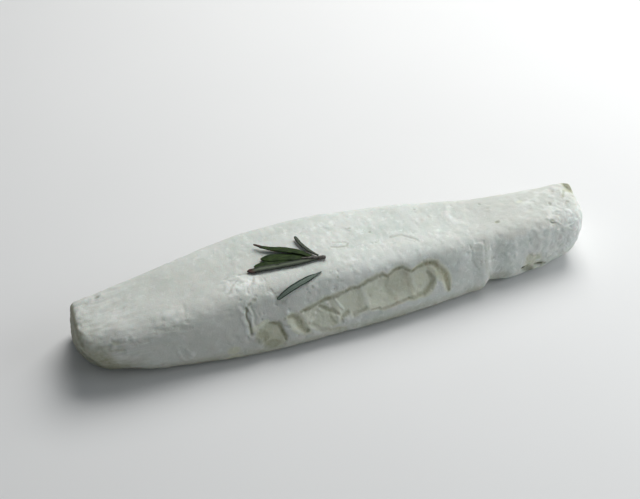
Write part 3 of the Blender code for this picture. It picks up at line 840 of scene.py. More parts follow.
BLOTS = (
    # Pits on top
    Blot(TOP, -105.7, 4.0, 1.6, 1.1, 0.40, 0.55),
    Blot(TOP, -110.4, 2.1, 1.7, 1.3, 0.30, 0.32),
    Blot(TOP, 12.8, 1.5, 1.0, 0.8, 0.25, 0.36),
    Blot(TOP, 5.2, 6.2, 1.1, 0.8, 0.28, 0.50),
    Blot(TOP, 12.7, -5.5, 1.0, 0.8, 0.22, 0.32),
    Blot(TOP, 36.8, 8.6, 1.2, 0.9, 0.28, 0.36),
    Blot(TOP, 69.1, -10.4, 1.9, 1.2, 0.55, 0.62),
    Blot(TOP, 93.9, -15.9, 1.9, 1.5, 0.55, 0.60),
    Blot(TOP, 97.4, -6.3, 1.0, 1.6, 0.35, 0.35),
    Blot(TOP, 102.6, 0.4, 1.2, 1.0, 0.30, 0.25),
    Blot(TOP, 105.5, -8.4, 1.1, 1.2, 0.30, 0.28),
    Blot(TOP, 100.6, -8.0, 0.9, 1.2, 0.25, 0.20),
    Blot(TOP, 66.2, 2.4, 0.9, 1.0, 0.25, 0.22),
    Blot(TOP, 68.6, -1.2, 1.2, 0.8, 0.20, 0.14),
    # Bright lumps on top
    Blot(TOP, -80.2, -15.2, 3.6, 2.6, -0.40, chalk=0.55),
    Blot(TOP, -78.0, -18.4, 2.0, 2.0, -0.30, chalk=0.40),
    Blot(TOP, -48.4, -10.0, 10.5, 6.8, -0.30, chalk=0.72),
    Blot(TOP, 40.3, -7.8, 2.4, 1.8, -0.25, chalk=0.80),
    Blot(TOP, 86.8, -3.6, 4.2, 2.6, -0.30, chalk=0.55),
    Blot(TOP, 84.4, -1.4, 2.2, 1.4, 0.05, olive=0.6),
    # Painted light: chalk brightens the right end's rim and its lit corner
    Blot(TOP, 100.0, -11.0, 4.0, 8.0, -0.15, chalk=0.25),
    Blot(FRONT, 103.0, 20.0, 8.0, 14.0, -0.05, chalk=1.0),
    Blot(TOP, 102.3, -16.4, 5.0, 6.0, chalk=1.0),
    # Soft bump and pocks between the crack and the loose needle
    Blot(FRONT, -38.8, 24.6, 3.2, 3.6, -0.35, chalk=0.16),
    Blot(FRONT, -47.8, 24.2, 1.6, 1.0, 0.30, 0.42),
    Blot(FRONT, -45.2, 25.1, 2.0, 1.0, 0.30, 0.42),
    Blot(FRONT, -44.8, 20.0, 0.9, 1.2, 0.22, 0.18),
    Blot(FRONT, -42.8, 20.0, 0.9, 1.2, 0.22, 0.18),
    Blot(FRONT, -35.0, 16.0, 0.8, 0.8, 0.20, 0.35),
    Blot(FRONT, -33.9, 21.9, 1.5, 1.5, 0.18, 0.14),
    Blot(FRONT, -23.1, 24.4, 1.0, 0.8, 0.22, 0.30),
    Blot(FRONT, -20.6, 24.9, 0.8, 0.9, 0.25, 0.40),
    Blot(FRONT, -9.2, 26.0, 0.8, 0.7, 0.20, 0.36),
    Blot(FRONT, -12.0, 22.2, 0.7, 0.6, 0.20, 0.32),
    # Tones and crumbs inside the fields
    Blot(FRONT, -45.2, 11.2, 5.2, 4.6, 0.0, 0.62),
    Blot(FRONT, -41.6, 6.8, 6.0, 4.0, 0.10, 0.60),
    Blot(FRONT, -39.4, 12.0, 3.0, 2.6, -0.14, chalk=0.24),
    Blot(FRONT, -26.6, 9.9, 2.6, 1.8, 0.12, 0.66),
    Blot(FRONT, -33.2, 17.8, 2.0, 1.3, -0.30, chalk=0.65),
    Blot(FRONT, -28.0, 17.5, 1.6, 0.8, -0.22, chalk=0.30),
    Blot(FRONT, -23.9, 12.9, 1.8, 1.1, -0.34, chalk=0.45),
    Blot(FRONT, -22.0, 14.9, 1.1, 0.9, -0.34, chalk=0.55),
    Blot(FRONT, -19.9, 15.9, 1.0, 0.9, -0.34, chalk=0.50),
    Blot(FRONT, -15.9, 18.0, 1.4, 1.0, -0.32, chalk=0.80),
    Blot(FRONT, -15.2, 16.4, 0.9, 0.7, -0.26, chalk=0.70),
    Blot(FRONT, -12.6, 6.9, 1.8, 1.1, 0.05, 0.30, olive=1.0),
    Blot(FRONT, 4.6, 18.6, 3.0, 2.4, 0.06, 0.10),
    Blot(FRONT, 3.1, 16.4, 1.0, 0.9, 0.12, 0.26),
    Blot(FRONT, 8.4, 16.9, 1.0, 0.9, 0.12, 0.24),
    Blot(FRONT, 16.6, 18.4, 7.0, 7.0, 0.10, 0.31),
    Blot(FRONT, 15.9, 16.0, 1.1, 1.0, 0.14, 0.24),
    Blot(FRONT, 14.7, 13.2, 2.2, 1.3, 0.0, brown=0.35),
    Blot(FRONT, 8.7, 20.3, 1.8, 1.6, 0.0, brown=0.18),
    Blot(FRONT, 25.9, 14.8, 1.6, 1.3, 0.08, 0.12, brown=0.16),
    Blot(FRONT, 26.6, 17.4, 4.4, 4.2, -0.12, olive=1.0),
    # Small lumps and spots on the right
    Blot(FRONT, 54.4, 19.4, 2.6, 3.6, -0.20),
    Blot(FRONT, 62.4, 16.7, 1.8, 1.2, 0.28, 0.24),
    Blot(FRONT, 59.9, 22.6, 1.2, 1.2, 0.26, 0.22),
    Blot(FRONT, 80.8, 20.5, 1.3, 1.2, 0.26, 0.24),
    Blot(FRONT, 91.6, 9.0, 1.4, 1.1, 0.24, 0.26),
    Blot(FRONT, 44.0, 25.4, 1.0, 0.8, 0.20, 0.16),
    Blot(FRONT, 68.1, 22.3, 2.0, 1.4, -0.34, chalk=0.20),
    Blot(FRONT, 72.2, 21.9, 1.8, 1.2, -0.34, chalk=0.20),
    Blot(FRONT, 73.2, 16.5, 1.2, 1.2, -0.30, chalk=0.40),
    Blot(FRONT, 69.0, 17.4, 1.4, 1.2, -0.30, chalk=0.40),
    # Painted shade: the pool in the hollow right of the step's crease
    Blot(FRONT, 66.0, 6.0, 8.0, 5.0, 0.35, 0.32),
    # Painted light: brighter patch right of the step's shade
    Blot(FRONT, 75.0, 16.5, 11.0, 9.0, chalk=0.50),
    Blot(FRONT, 49.0, 21.0, 11.0, 8.0, chalk=0.40),
    # Paler shoulder over the rubbed run: painted highlight
    Blot(TOP, 12.0, -16.5, 26.0, 4.0, chalk=0.32),
    # Chip low on the right: rubbed olive, with pale crumbs
    Blot(FRONT, 82.8, 9.4, 7.0, 5.8, 0.35, 0.20, olive=1.0),
    Blot(FRONT, 81.0, 12.0, 3.4, 3.0, 0.0, 0.22, olive=1.0),
    Blot(FRONT, 85.2, 9.4, 2.8, 1.2, -0.42, chalk=0.90),
    Blot(FRONT, 84.6, 4.4, 2.6, 1.6, -0.40, chalk=0.40, olive=1.0),
    Blot(FRONT, 88.4, 3.0, 2.0, 1.4, -0.30, chalk=0.20, olive=0.8),
    # Olive tints and dirt at the log's corners and foot
    Blot(FRONT, -57.6, 8.2, 4.2, 3.0, 0.05, 0.22, olive=0.9),
    Blot(FRONT, -57.0, 2.8, 6.0, 4.5, 0.05, 0.20, olive=0.9),
    Blot(FRONT, -102.7, 22.3, 2.4, 1.5, 0.15, 0.26, olive=0.5),
    Blot(FRONT, -106.0, 20.8, 2.2, 1.5, 0.15, 0.26, olive=0.5),
    Blot(FRONT, -86.0, 3.4, 4.6, 3.2, -0.55),
    Blot(TOP, 111.9, 2.2, 3.2, 6.2, 0.05, 0.90, olive=1.0),
    Blot(TOP, 110.2, -0.6, 3.6, 2.2, 0.15, 0.36, olive=1.0),
    Stroke(TOP, ((108.0, -0.8), (106.6, -2.6), (105.4, -4.6)), 0.9, 0.20, 0.50, olive=0.8),
)


@dataclass(frozen=True)
class StainAndPaintedShade:
    """Olive stain and painted shade of the left end, the front's lower left corner and the front's foot, in
    millimetres.
    """

    end: float = 0.72
    end_facing: Ramp = Ramp(-0.30, -0.4)
    end_x: Ramp = Ramp(-98.0, -10.0)
    corner: float = 0.80
    corner_x: Ramp = Ramp(-88.0, -20.0)
    corner_y: Ramp = Ramp(-2.0, -9.0)
    corner_top: float = 18.0
    corner_climb: float = 10.0
    climb_x: Ramp = Ramp(-102.0, -8.0)
    corner_fade: float = 12.0
    corner_even: float = 0.5
    foot: float = 0.46
    foot_more: float = 0.12
    more_x: Place = (16.0, 26.0)
    foot_z: Ramp = Ramp(10.0, -8.0)
    foot_x: Ramp = Ramp(78.0, -20.0)

    def on(self, skin: Skin, patchy: np.ndarray) -> np.ndarray:
        """How strongly the rind takes the olive stain and the painted shade.

        Args:
            skin: The rind.
            patchy: Unevenness of the stain.

        Returns:
            Share of the stain and painted shade at each point.
        """
        x, y, z = skin.points.T / MM
        end = self.end * self.end_facing.at(skin.normals[:, 0]) * self.end_x.at(x)
        level = self.corner_top + self.corner_climb * self.climb_x.at(x)
        corner = self.corner * self.corner_x.at(x) * ease((level - z) / self.corner_fade)
        corner *= self.corner_even + (1 - self.corner_even) * patchy
        corner *= self.corner_y.at(y)
        foot = (self.foot + self.foot_more * hump(x, *self.more_x)) * self.foot_z.at(z) * self.foot_x.at(x)
        return np.maximum(np.maximum(end, corner), foot * patchy)


@dataclass(frozen=True)
class PaintedShade:
    """Painted shade: greyer rind where less light falls, on the left half, the right half's top and in the
    hollow before its rim, in millimetres.
    """

    left: float = 0.50
    left_x: Ramp = Ramp(10.0, -60.0)
    left_clear: float = 0.6
    clear_y: Ramp = Ramp(-6.0, 12.0)
    clear_slant: float = 8.0
    hollow: float = 0.55
    hollow_middle: Place = (84.0, -10.0)
    hollow_halves: Place = (17.0, 13.0)
    hollow_edge: float = 1.4
    right: float = 0.58
    right_x: Ramp = Ramp(25.0, 50.0)
    right_up: Ramp = Ramp(0.5, 0.3)
    rim_x: Ramp = Ramp(97.0, 5.0)
    rim_y: Ramp = Ramp(-8.0, -6.0)

    def on(self, skin: Skin) -> np.ndarray:
        """How much painted shade the rind gets.

        Args:
            skin: The rind.

        Returns:
            Share of the painted shade's greyer colour at each point.
        """
        x, y, _ = skin.points.T / MM
        clear = self.left_clear * self.clear_y.at(y + x / self.clear_slant)
        left = self.left * self.left_x.at(x) * (1 - clear)
        reach = from_oval(x, y, self.hollow_middle, self.hollow_halves)
        hollow = self.hollow * ease(self.hollow_edge * (1 - reach))
        right = self.right * self.right_x.at(x) * self.right_up.at(skin.normals[:, 2])
        right *= 1 - self.rim_x.at(x) * self.rim_y.at(y)
        return np.maximum(np.maximum(left, right), hollow)


@dataclass
class CheeseLog:
    """The log with its rind: a refined copy of the solid, dressed with relief and colour."""

    name: str = "cheese_rind"
    # Refining: merging, squaring, levels, and the flat underside by its direction and height
    weld: float = 1e-6
    quad_angle: float = 0.7
    levels: int = 2
    flat: float = 0.02
    downward: float = -0.999
    ground: float = 0.0002
    # Faces near a mark, and the directions of the front and the top
    near: float = 0.9
    frontward: float = -0.2
    upward: float = 0.4
    # Wear of the right end's front foot, in metres
    worn_x: Ramp = Ramp(0.088, 0.012)
    worn_y: Ramp = Ramp(-0.006, -0.008)
    worn_z: Ramp = Ramp(0.013, -0.013)
    worn_back: float = 0.0014
    worn_in: float = 0.0022
    # Where the rind is free of the ground and where it is rougher, in metres
    free_z: Ramp = Ramp(0.0004, 0.003)
    right_x: Ramp = Ramp(0.070, 0.030)
    left_x: Ramp = Ramp(-0.078, -0.026)
    lumpy_x: Ramp = Ramp(0.058, 0.006)
    crumpled_middle: Place = (-0.048, -0.0095)
    crumpled_halves: Place = (0.013, 0.0075)
    crumpled_edge: Ramp = Ramp(1.0, -0.4)
    crumpled_up: Ramp = Ramp(0.0, 0.5)
    # Patterns of the rind, and their heights in metres in the order in which roughen adds them up
    lumps: Pattern = Pattern(0.0080, 5.0)
    bumps: Pattern = Pattern(0.0032, 9.0)
    pebbles: Pattern = Pattern(0.0017, 31.0)
    pocks: Pattern = Pattern(0.0021, 61.0, ramp=Ramp(0.36, 0.20))
    spots: Pattern = Pattern(0.0027, 71.0, ramp=Ramp(0.34, 0.22))
    flakes: Pattern = Pattern(0.0034, 121.0, ramp=Ramp(0.02, 0.22))
    waves: Pattern = Pattern(0.0045, 111.0)
    wrinkles: Pattern = Pattern(0.0040, 21.0, sharp=2.2)
    creases: Pattern = Pattern(0.0020, 41.0, (4.5, 1.0, 0.8), sharp=2.4)
    rind_heights: tuple = (0.00020, 0.00012, 0.00005, -0.00017, 0.00010)
    right_heights: tuple = (0.00006, 0.00012, 0.00014)
    lumpy_heights: tuple = (0.00008, 0.00012)
    crumpled_heights: tuple = (0.00008, 0.00010)
    left_heights: tuple = (0.00010, 0.00013)
    rubbed_calm: float = 0.65
    streak_from: Ramp = Ramp(0.25, 0.5)
    streak_chalk: float = 0.20
    crest_chalk: tuple = (0.28, 0.25, 0.10)
    # Unevenness of the marks: their wander in millimetres, patches, and crumbs in the torn part
    relief: float = 0.62
    warps: tuple = ((6.0, 0.55), (1.9, 0.22))
    warp_seeds: Place = (81.0, 91.0)
    patches: Pattern = Pattern(0.0030, 101.0, ramp=Ramp(-0.40, 0.5))
    patch_range: Place = (0.60, 0.40)
    patch_stain: float = 0.45
    crumbs: Pattern = Pattern(0.0014, 51.0)
    crumb_depth: Place = (0.03, 0.07)
    crumb_chalk: Place = (0.05, 0.3)
    crumb_white: Ramp = Ramp(0.25, 0.3)
    torn_x: Place = (-18.0, 11.0)
    # Edges of the marks, as shares of their half width
    field_edge: float = 0.5
    core: Ramp = Ramp(1.15, -1.0)
    lip: Place = (1.35, 1.0)
    halo: Ramp = Ramp(1.7, -1.0)
    blot_stain: float = 1.6
    blot_olive: float = 1.8
    stain_and_shade_olive: float = 0.8

    def build(self, source: bpy.types.Object) -> bpy.types.Object:
        """Copy the solid, refine it and give it its relief and finish.

        Args:
            source: The log as packed.

        Returns:
            The dressed log.
        """
        self.thing = bpy.data.objects.new(self.name, source.data.copy())
        bpy.context.scene.collection.objects.link(self.thing)
        self.refine()
        self.roughen()
        self.mark()
        self.thing.data.materials.clear()
        self.thing.data.materials.append(RindFinish().make())
        only(self.thing)
        bpy.ops.object.shade_smooth()
        return self.thing

    def refine(self) -> None:
        """Turn the loose triangles into a smooth fine mesh, finest at the marks and plain underneath."""
        only(self.thing)
        bpy.ops.object.mode_set(mode="EDIT")
        bpy.ops.mesh.select_all(action="SELECT")
        bpy.ops.mesh.remove_doubles(threshold=self.weld)
        bpy.ops.mesh.customdata_custom_splitnormals_clear()
        bpy.ops.mesh.tris_convert_to_quads(face_threshold=self.quad_angle, shape_threshold=self.quad_angle)
        bpy.ops.object.mode_set(mode="OBJECT")
        subdivision(self.thing, self.levels)
        centres, normals = self.faces()
        self.choose((normals[:, 2] < self.downward) & (centres[:, 2] < self.ground))
        bpy.ops.object.mode_set(mode="EDIT")
        bpy.ops.mesh.dissolve_limited(angle_limit=self.flat)
        bpy.ops.object.mode_set(mode="OBJECT")
        centres, normals = self.faces()
        self.choose(self.marked(centres, normals))
        bpy.ops.object.mode_set(mode="EDIT")
        bpy.ops.mesh.subdivide(number_cuts=1)
        bpy.ops.object.mode_set(mode="OBJECT")

    def faces(self) -> tuple[np.ndarray, np.ndarray]:
        """Centres and directions of the faces."""
        faces = self.thing.data.polygons
        return np.array([face.center for face in faces]), np.array([face.normal for face in faces])

    def choose(self, chosen: np.ndarray) -> None:
        """Select faces and nothing else.

        Args:
            chosen: Whether each face is selected.
        """
        only(self.thing)
        bpy.ops.object.mode_set(mode="EDIT")
        bpy.ops.mesh.select_mode(type="FACE")
        bpy.ops.mesh.select_all(action="DESELECT")
        bpy.ops.object.mode_set(mode="OBJECT")
        self.thing.data.polygons.foreach_set("select", chosen)

    def marked(self, centres: np.ndarray, normals: np.ndarray) -> np.ndarray:
        """Whether each face lies under or near a mark that has depth.

        Args:
            centres: The faces' centres.
            normals: Their directions.

        Returns:
            True where a mark is near.
        """
        x, y, z = centres.T / MM
        on_front = normals[:, 1] < self.frontward
        on_top = normals[:, 2] > self.upward
        near = np.zeros(len(x), bool)
        for field in FIELDS:
            near |= (field.inside(x, z) > -self.near) & on_front
        for mark in (mark for mark in STROKES + BLOTS if mark.depth):
            across, facing = (z, on_front) if mark.side is Side.FRONT else (y, on_top)
            near |= (mark.reach(x, across) * mark.smallest() < mark.smallest() + self.near) & facing
        return near

    def roughen(self) -> None:
        """Wear off the right end's front foot and give the rind its lumps, pocks, crinkles and folds."""
        skin = Skin(self.thing)
        x, y, z = skin.points.T
        worn = self.worn_x.at(x) * self.worn_z.at(z) * self.worn_y.at(y)
        skin.points[:, 0] -= self.worn_back * worn
        skin.points[:, 1] += self.worn_in * worn
        skin.write()
        x, y, z = skin.points.T
        front = Side.FRONT.facing(skin)
        right = self.right_x.at(x)
        left = self.left_x.at(x)
        lumpy = self.lumpy_x.at(x) * front
        crumpled = self.crumpled_edge.at(from_oval(x, y, self.crumpled_middle, self.crumpled_halves))
        crumpled *= self.crumpled_up.at(skin.normals[:, 2])
        places = Side.FRONT.places(skin)
        rubbed = np.max([ease(field.inside(*places)) for field in FIELDS], axis=0) * front
        pebbles, flakes, creases = (pattern.on(skin) for pattern in (self.pebbles, self.flakes, self.creases))
        rise = layered(self.rind_heights, (self.lumps.on(skin), self.bumps.on(skin), pebbles,
                                           self.pocks.on(skin), self.spots.on(skin)))
        rise += right * layered(self.right_heights, (self.wrinkles.on(skin), pebbles, flakes))
        rise += lumpy * layered(self.lumpy_heights, (self.waves.on(skin), flakes))
        rise += crumpled * layered(self.crumpled_heights, (pebbles, flakes))
        rise += left * layered(self.left_heights, (creases, pebbles))
        skin.push(rise * self.free_z.at(z) * (1 - self.rubbed_calm * rubbed))
        self.streaks = left * self.streak_from.at(creases)
        self.crests = flakes * layered(self.crest_chalk, (right, crumpled, lumpy))

    def mark(self) -> None:
        """Press the marks into the rind and paint their colours, with painted shade and painted highlights
        among them.
        """
        skin = Skin(self.thing)
        along, across = (sum(share * skin.grain(size * MM, seed) for size, share in self.warps)
                         for seed in self.warp_seeds)
        patchy = self.patch_range[0] + self.patch_range[1] * self.patches.on(skin)
        crumbs = self.crumbs.on(skin)
        facings, places = {}, {}
        for side in Side:
            facings[side] = side.facing(skin)
            first, second = side.places(skin)
            places[side] = (first + along, second + across)
        front = facings[Side.FRONT]
        front_x, front_z = places[Side.FRONT]
        torn = hump(front_x, *self.torn_x)
        rough = self.crumb_depth[0] + self.crumb_depth[1] * torn
        white = self.crumb_white.at(crumbs) * (self.crumb_chalk[0] + self.crumb_chalk[1] * torn)
        sink = np.zeros(len(front_x))
        rubbed, stained_and_shaded, chalk_and_highlight, browned = (np.zeros(len(front_x)) for _ in range(4))
        for field in FIELDS:
            inner = ease(field.inside(front_x, front_z) / field.edge + self.field_edge) * front
            sink += inner * (field.depth + rough * crumbs)
            rubbed = np.maximum(rubbed, field.olive * inner)
            stained_and_shaded = np.maximum(stained_and_shaded, field.stain * inner)
            chalk_and_highlight = np.maximum(chalk_and_highlight, white * inner)
        for stroke in STROKES:
            facing = facings[stroke.side]
            reach = stroke.reach(*places[stroke.side])
            core = self.core.at(reach) * facing
            lip = stroke.lip * hump(reach, *self.lip) * facing * patchy
            sink += self.relief * (stroke.depth * core - lip)
            stained_and_shaded = np.maximum(stained_and_shaded, stroke.stain * core * (1 - self.patch_stain * (1 - patchy)))
            chalk_and_highlight = np.maximum(chalk_and_highlight, stroke.chalk * core * patchy)
            browned = np.maximum(browned, stroke.brown * core * patchy)
            rubbed = np.maximum(rubbed, stroke.olive * self.halo.at(reach) * facing)
        for blot in BLOTS:
            share = ease(1 - blot.reach(*places[blot.side])) * facings[blot.side]
            sink += self.relief * blot.depth * share
            stained_and_shaded = np.maximum(stained_and_shaded, blot.stain * ease(share * self.blot_stain))
            chalk_and_highlight = np.maximum(chalk_and_highlight, blot.chalk * share * patchy)
            browned = np.maximum(browned, blot.brown * share)
            rubbed = np.maximum(rubbed, blot.olive * ease(share * self.blot_olive))
        # Olive stain and painted shade at the left end, the lower left corner and the foot
        stain_and_shade = StainAndPaintedShade().on(skin, patchy)
        skin.push(-sink * MM)
        skin.paint("rubbed", np.maximum(rubbed, self.stain_and_shade_olive * stain_and_shade))
        skin.paint("stained_and_shaded", np.maximum(stained_and_shaded, stain_and_shade))
        skin.paint("chalk_and_highlight", np.maximum(chalk_and_highlight, np.maximum(self.crests, self.streak_chalk * self.streaks)))
        skin.paint("browned", browned)
        # Painted shade: greyer where less light falls
        skin.paint("painted_shade", PaintedShade().on(skin))


class Rest:
    """The dressed rind, asked for its height and direction under a place seen from above."""

    def __init__(self, log: bpy.types.Object, above: float = 0.1, around: float = 0.0025) -> None:
        """Read the dressed log.

        Args:
            log: The dressed log.
            above: Height that the rays start from.
            around: Distance of the four more rays that smooth the direction.
        """
        mesh = log.data
        faces = [tuple(face.vertices) for face in mesh.polygons]
        self.tree = BVHTree.FromPolygons([vertex.co.copy() for vertex in mesh.vertices], faces)
        self.above = above
        self.offsets = ((around, 0.0), (-around, 0.0), (0.0, around), (0.0, -around))

    def under(self, x: float, y: float) -> tuple[Vector, Vector]:
        """Point and direction of the rind under a place."""
        hit, normal, _, _ = self.tree.ray_cast(Vector((x, y, self.above)), Vector((0, 0, -1)))
        return hit, normal

    def over(self, x: float, y: float, lift: float) -> tuple[Vector, Vector]:
        """Point above the rind.

        Args:
            x: Place along the log.
            y: Place across it.
            lift: Height over the rind.

        Returns:
            The point and the rind's smoothed direction.
        """
        hit, direction = self.under(x, y)
        for dx, dy in self.offsets:
            direction = direction + self.under(x + dx, y + dy)[1]
        direction.normalize()
        return Vector((x, y, hit.z)) + direction * lift, direction


class Face(Enum):
    """Which face of a needle looks up."""

    GREEN = 1
    FELT = -1


# Least rise of a fresh rod's long edges, and the digits that tell its rows apart
UPRIGHT = 0.5
ROW_DIGITS = 5


def split_lengthwise(thing: bpy.types.Object, rows: int) -> None:
    """Cut a fresh rod, standing on end, across into even rows.

    Args:
        thing: The rod.
        rows: Number of rows.
    """
    bpy.ops.object.mode_set(mode="EDIT")
    bpy.ops.mesh.select_mode(type="EDGE")
    bpy.ops.mesh.select_all(action="DESELECT")
    bpy.ops.object.mode_set(mode="OBJECT")
    mesh = thing.data
    for edge in mesh.edges:
        first, second = (mesh.vertices[index].co for index in edge.vertices)
        edge.select = abs(first.z - second.z) > UPRIGHT
    bpy.ops.object.mode_set(mode="EDIT")
    bpy.ops.mesh.subdivide(number_cuts=rows - 1)
    bpy.ops.object.mode_set(mode="OBJECT")


@dataclass(frozen=True)
class Section:
    """A needle's cross-section: heights in metres, widths as shares of its half width."""

    thick: float = 0.00042
    round_power: float = 0.75
    groove_half: float = 0.15
    groove_depth: float = 0.45
    rolled: float = 0.00040
    roll_power: float = 0.45
    channel_edge: float = 0.14
    channel_depth: float = 0.62
    rib_half: float = 0.13
    rib_share: float = 0.75
    felt_over: float = 0.02
    felt_edge: float = 0.12

    def outline(self, across: np.ndarray, over: np.ndarray,
                felt_half: float) -> tuple[np.ndarray, np.ndarray, np.ndarray]:
        """Two rounded halves above, rolled margins and felt channels below.

        Args:
            across: Places across, -1 to 1.
            over: Sine of the angle round the section, positive on the green face.
            felt_half: Half width of the felt.

        Returns:
            Heights in metres, the felt's share and the groove's share.
        """
        green = over >= 0
        groove = np.exp(-((across / self.groove_half) ** 2))
        above = self.thick * np.abs(over) ** self.round_power * (1 - self.groove_depth * groove)
        rib = self.rib_share * np.exp(-((across / self.rib_half) ** 2))
        channel = ease((felt_half - np.abs(across)) / self.channel_edge) * (1 - rib)
        below = -self.rolled * np.abs(over) ** self.roll_power * (1 - self.channel_depth * channel)
        felt = np.where(green, 0.0, ease((felt_half + self.felt_over - np.abs(across)) / self.felt_edge))
        return np.where(green, above, below), felt, np.where(green, groove, 0.0)


@dataclass
class Needle:
    """One rosemary needle lying along the rind, from its base to its tip."""

    name: str
    base: Place
    tip: Place
    width: float
    face: Face = Face.GREEN
    lifts: Place = (0.0003, 0.0004)
    bow: float = 0.0
    sway: float = 0.0
    roll: float = 0.0
    base_share: float = 0.50
    tip_share: float = 0.18
    tip_reach: float = 0.24
    tip_power: float = 2.2
    tip_brown: float = 0.0
    brown_from: float = 0.86
    felt_half: float = 0.62
    section: Section = Section()
    rows: int = 40
    sides: int = 24
    opening: Ramp = Ramp(0.0, 0.35)
    nose_reach: float = 0.035
    nose_least: float = 0.02
    row_power: float = 1.3
    core: float = 0.5
    thin_share: float = 0.45
    grown_share: float = 0.55
    roll_loss: float = 0.4
    brown_run: float = 0.1
    groove_light: float = 0.6

    def build(self, rest: Rest, finish: bpy.types.Material) -> bpy.types.Object:
        """Model the needle and lay it on the rind.

        Args:
            rest: The rind under it.
            finish: Its material.

        Returns:
            The needle.
        """
        bpy.ops.object.select_all(action="DESELECT")
        bpy.ops.mesh.primitive_cylinder_add(vertices=self.sides, radius=1.0, depth=1.0,
                                            end_fill_type="TRIFAN", location=(0.0, 0.0, 0.0))
        thing = bpy.context.active_object
        thing.name = self.name
        split_lengthwise(thing, self.rows)
        self.shape(thing, rest)
        subdivision(thing, 1)
        thing.data.materials.append(finish)
        bpy.ops.object.shade_smooth()
        return thing

    def girth(self, share: np.ndarray) -> np.ndarray:
        """Share of the full width along the needle, narrow at its base and closing at its tip.

        Args:
            share: Places along the needle, 0 at its base and 1 at its tip.

        Returns:
            Shares of the full width.
        """
        opening = self.base_share + (1 - self.base_share) * self.opening.at(share)
        short = np.clip(1 - (1 - share) / self.tip_reach, 0.0, 1.0)
        closing = self.tip_share + (1 - self.tip_share) * (1 - short**self.tip_power)
        rounded = np.clip(1 - (1 - share) / self.nose_reach, 0.0, 1.0)
        nose = np.sqrt(np.clip(1 - rounded**2, self.nose_least, 1.0))
        return opening * closing * nose

    def shape(self, thing: bpy.types.Object, rest: Rest) -> None:
        """Give the rod its section and outline, and bend it along the rind.

        Args:
            thing: The rod, cut into rows.
            rest: The rind under it.
        """
        skin = Skin(thing)
        share = np.clip(skin.points[:, 2] + 0.5, 0.0, 1.0)
        share = 1 - (1 - share) ** self.row_power
        across, over, _ = skin.points.T
        radius = np.hypot(across, over)
        grown = self.girth(share)
        height, felt, groove = self.section.outline(across, over, self.felt_half)
        height = np.where(radius < self.core, 0.0, height) * (self.thin_share + self.grown_share * grown)
        height = height * self.face.value
        run = Vector(self.tip) - Vector(self.base)
        aside = Vector((-run.y, run.x)).normalized()
        stations = {}
        for key in sorted(set(np.round(share, ROW_DIGITS))):
            stations[key] = self.station(key, run, aside, rest)
        keys = sorted(stations)
        for index, key in enumerate(keys):
            after = stations[keys[min(index + 1, len(keys) - 1)]][0]
            ahead = after - stations[keys[max(index - 1, 0)]][0]
            centre, up = stations[key]
            side = up.cross(ahead).normalized()
            turn = Matrix.Rotation(self.roll * (1 - self.roll_loss * key), 3, ahead.normalized())
            stations[key] = (centre, turn @ side, turn @ up)
        places = []
        for index, key in enumerate(np.round(share, ROW_DIGITS)):
            centre, side, up = stations[key]
            half = across[index] * grown[index] * self.width / 2
            places.append(centre + side * half + up * height[index])
        skin.points = np.array(places)
        skin.write()
        skin.paint("felted", felt)
        skin.paint("edged", groove * self.groove_light)
        skin.paint("tipped", self.tip_brown * Ramp(self.brown_from, self.brown_run).at(share))

    def station(self, share: float, run: Vector, aside: Vector, rest: Rest) -> tuple[Vector, Vector]:
        """Centre and direction of one row.

        Args:
            share: Place along the needle.
            run: From its base to its tip, seen from above.
            aside: Direction that it bows to.
            rest: The rind under it.

        Returns:
            The centre of the row and the rind's direction.
        """
        shift = self.bow * 4 * share * (1 - share) + self.sway * math.sin(2 * math.pi * share)
        place = Vector(self.base) + run * share + aside * shift
        lift = self.lifts[0] + (self.lifts[1] - self.lifts[0]) * share * share
        return rest.over(place.x, place.y, lift + self.section.rolled)


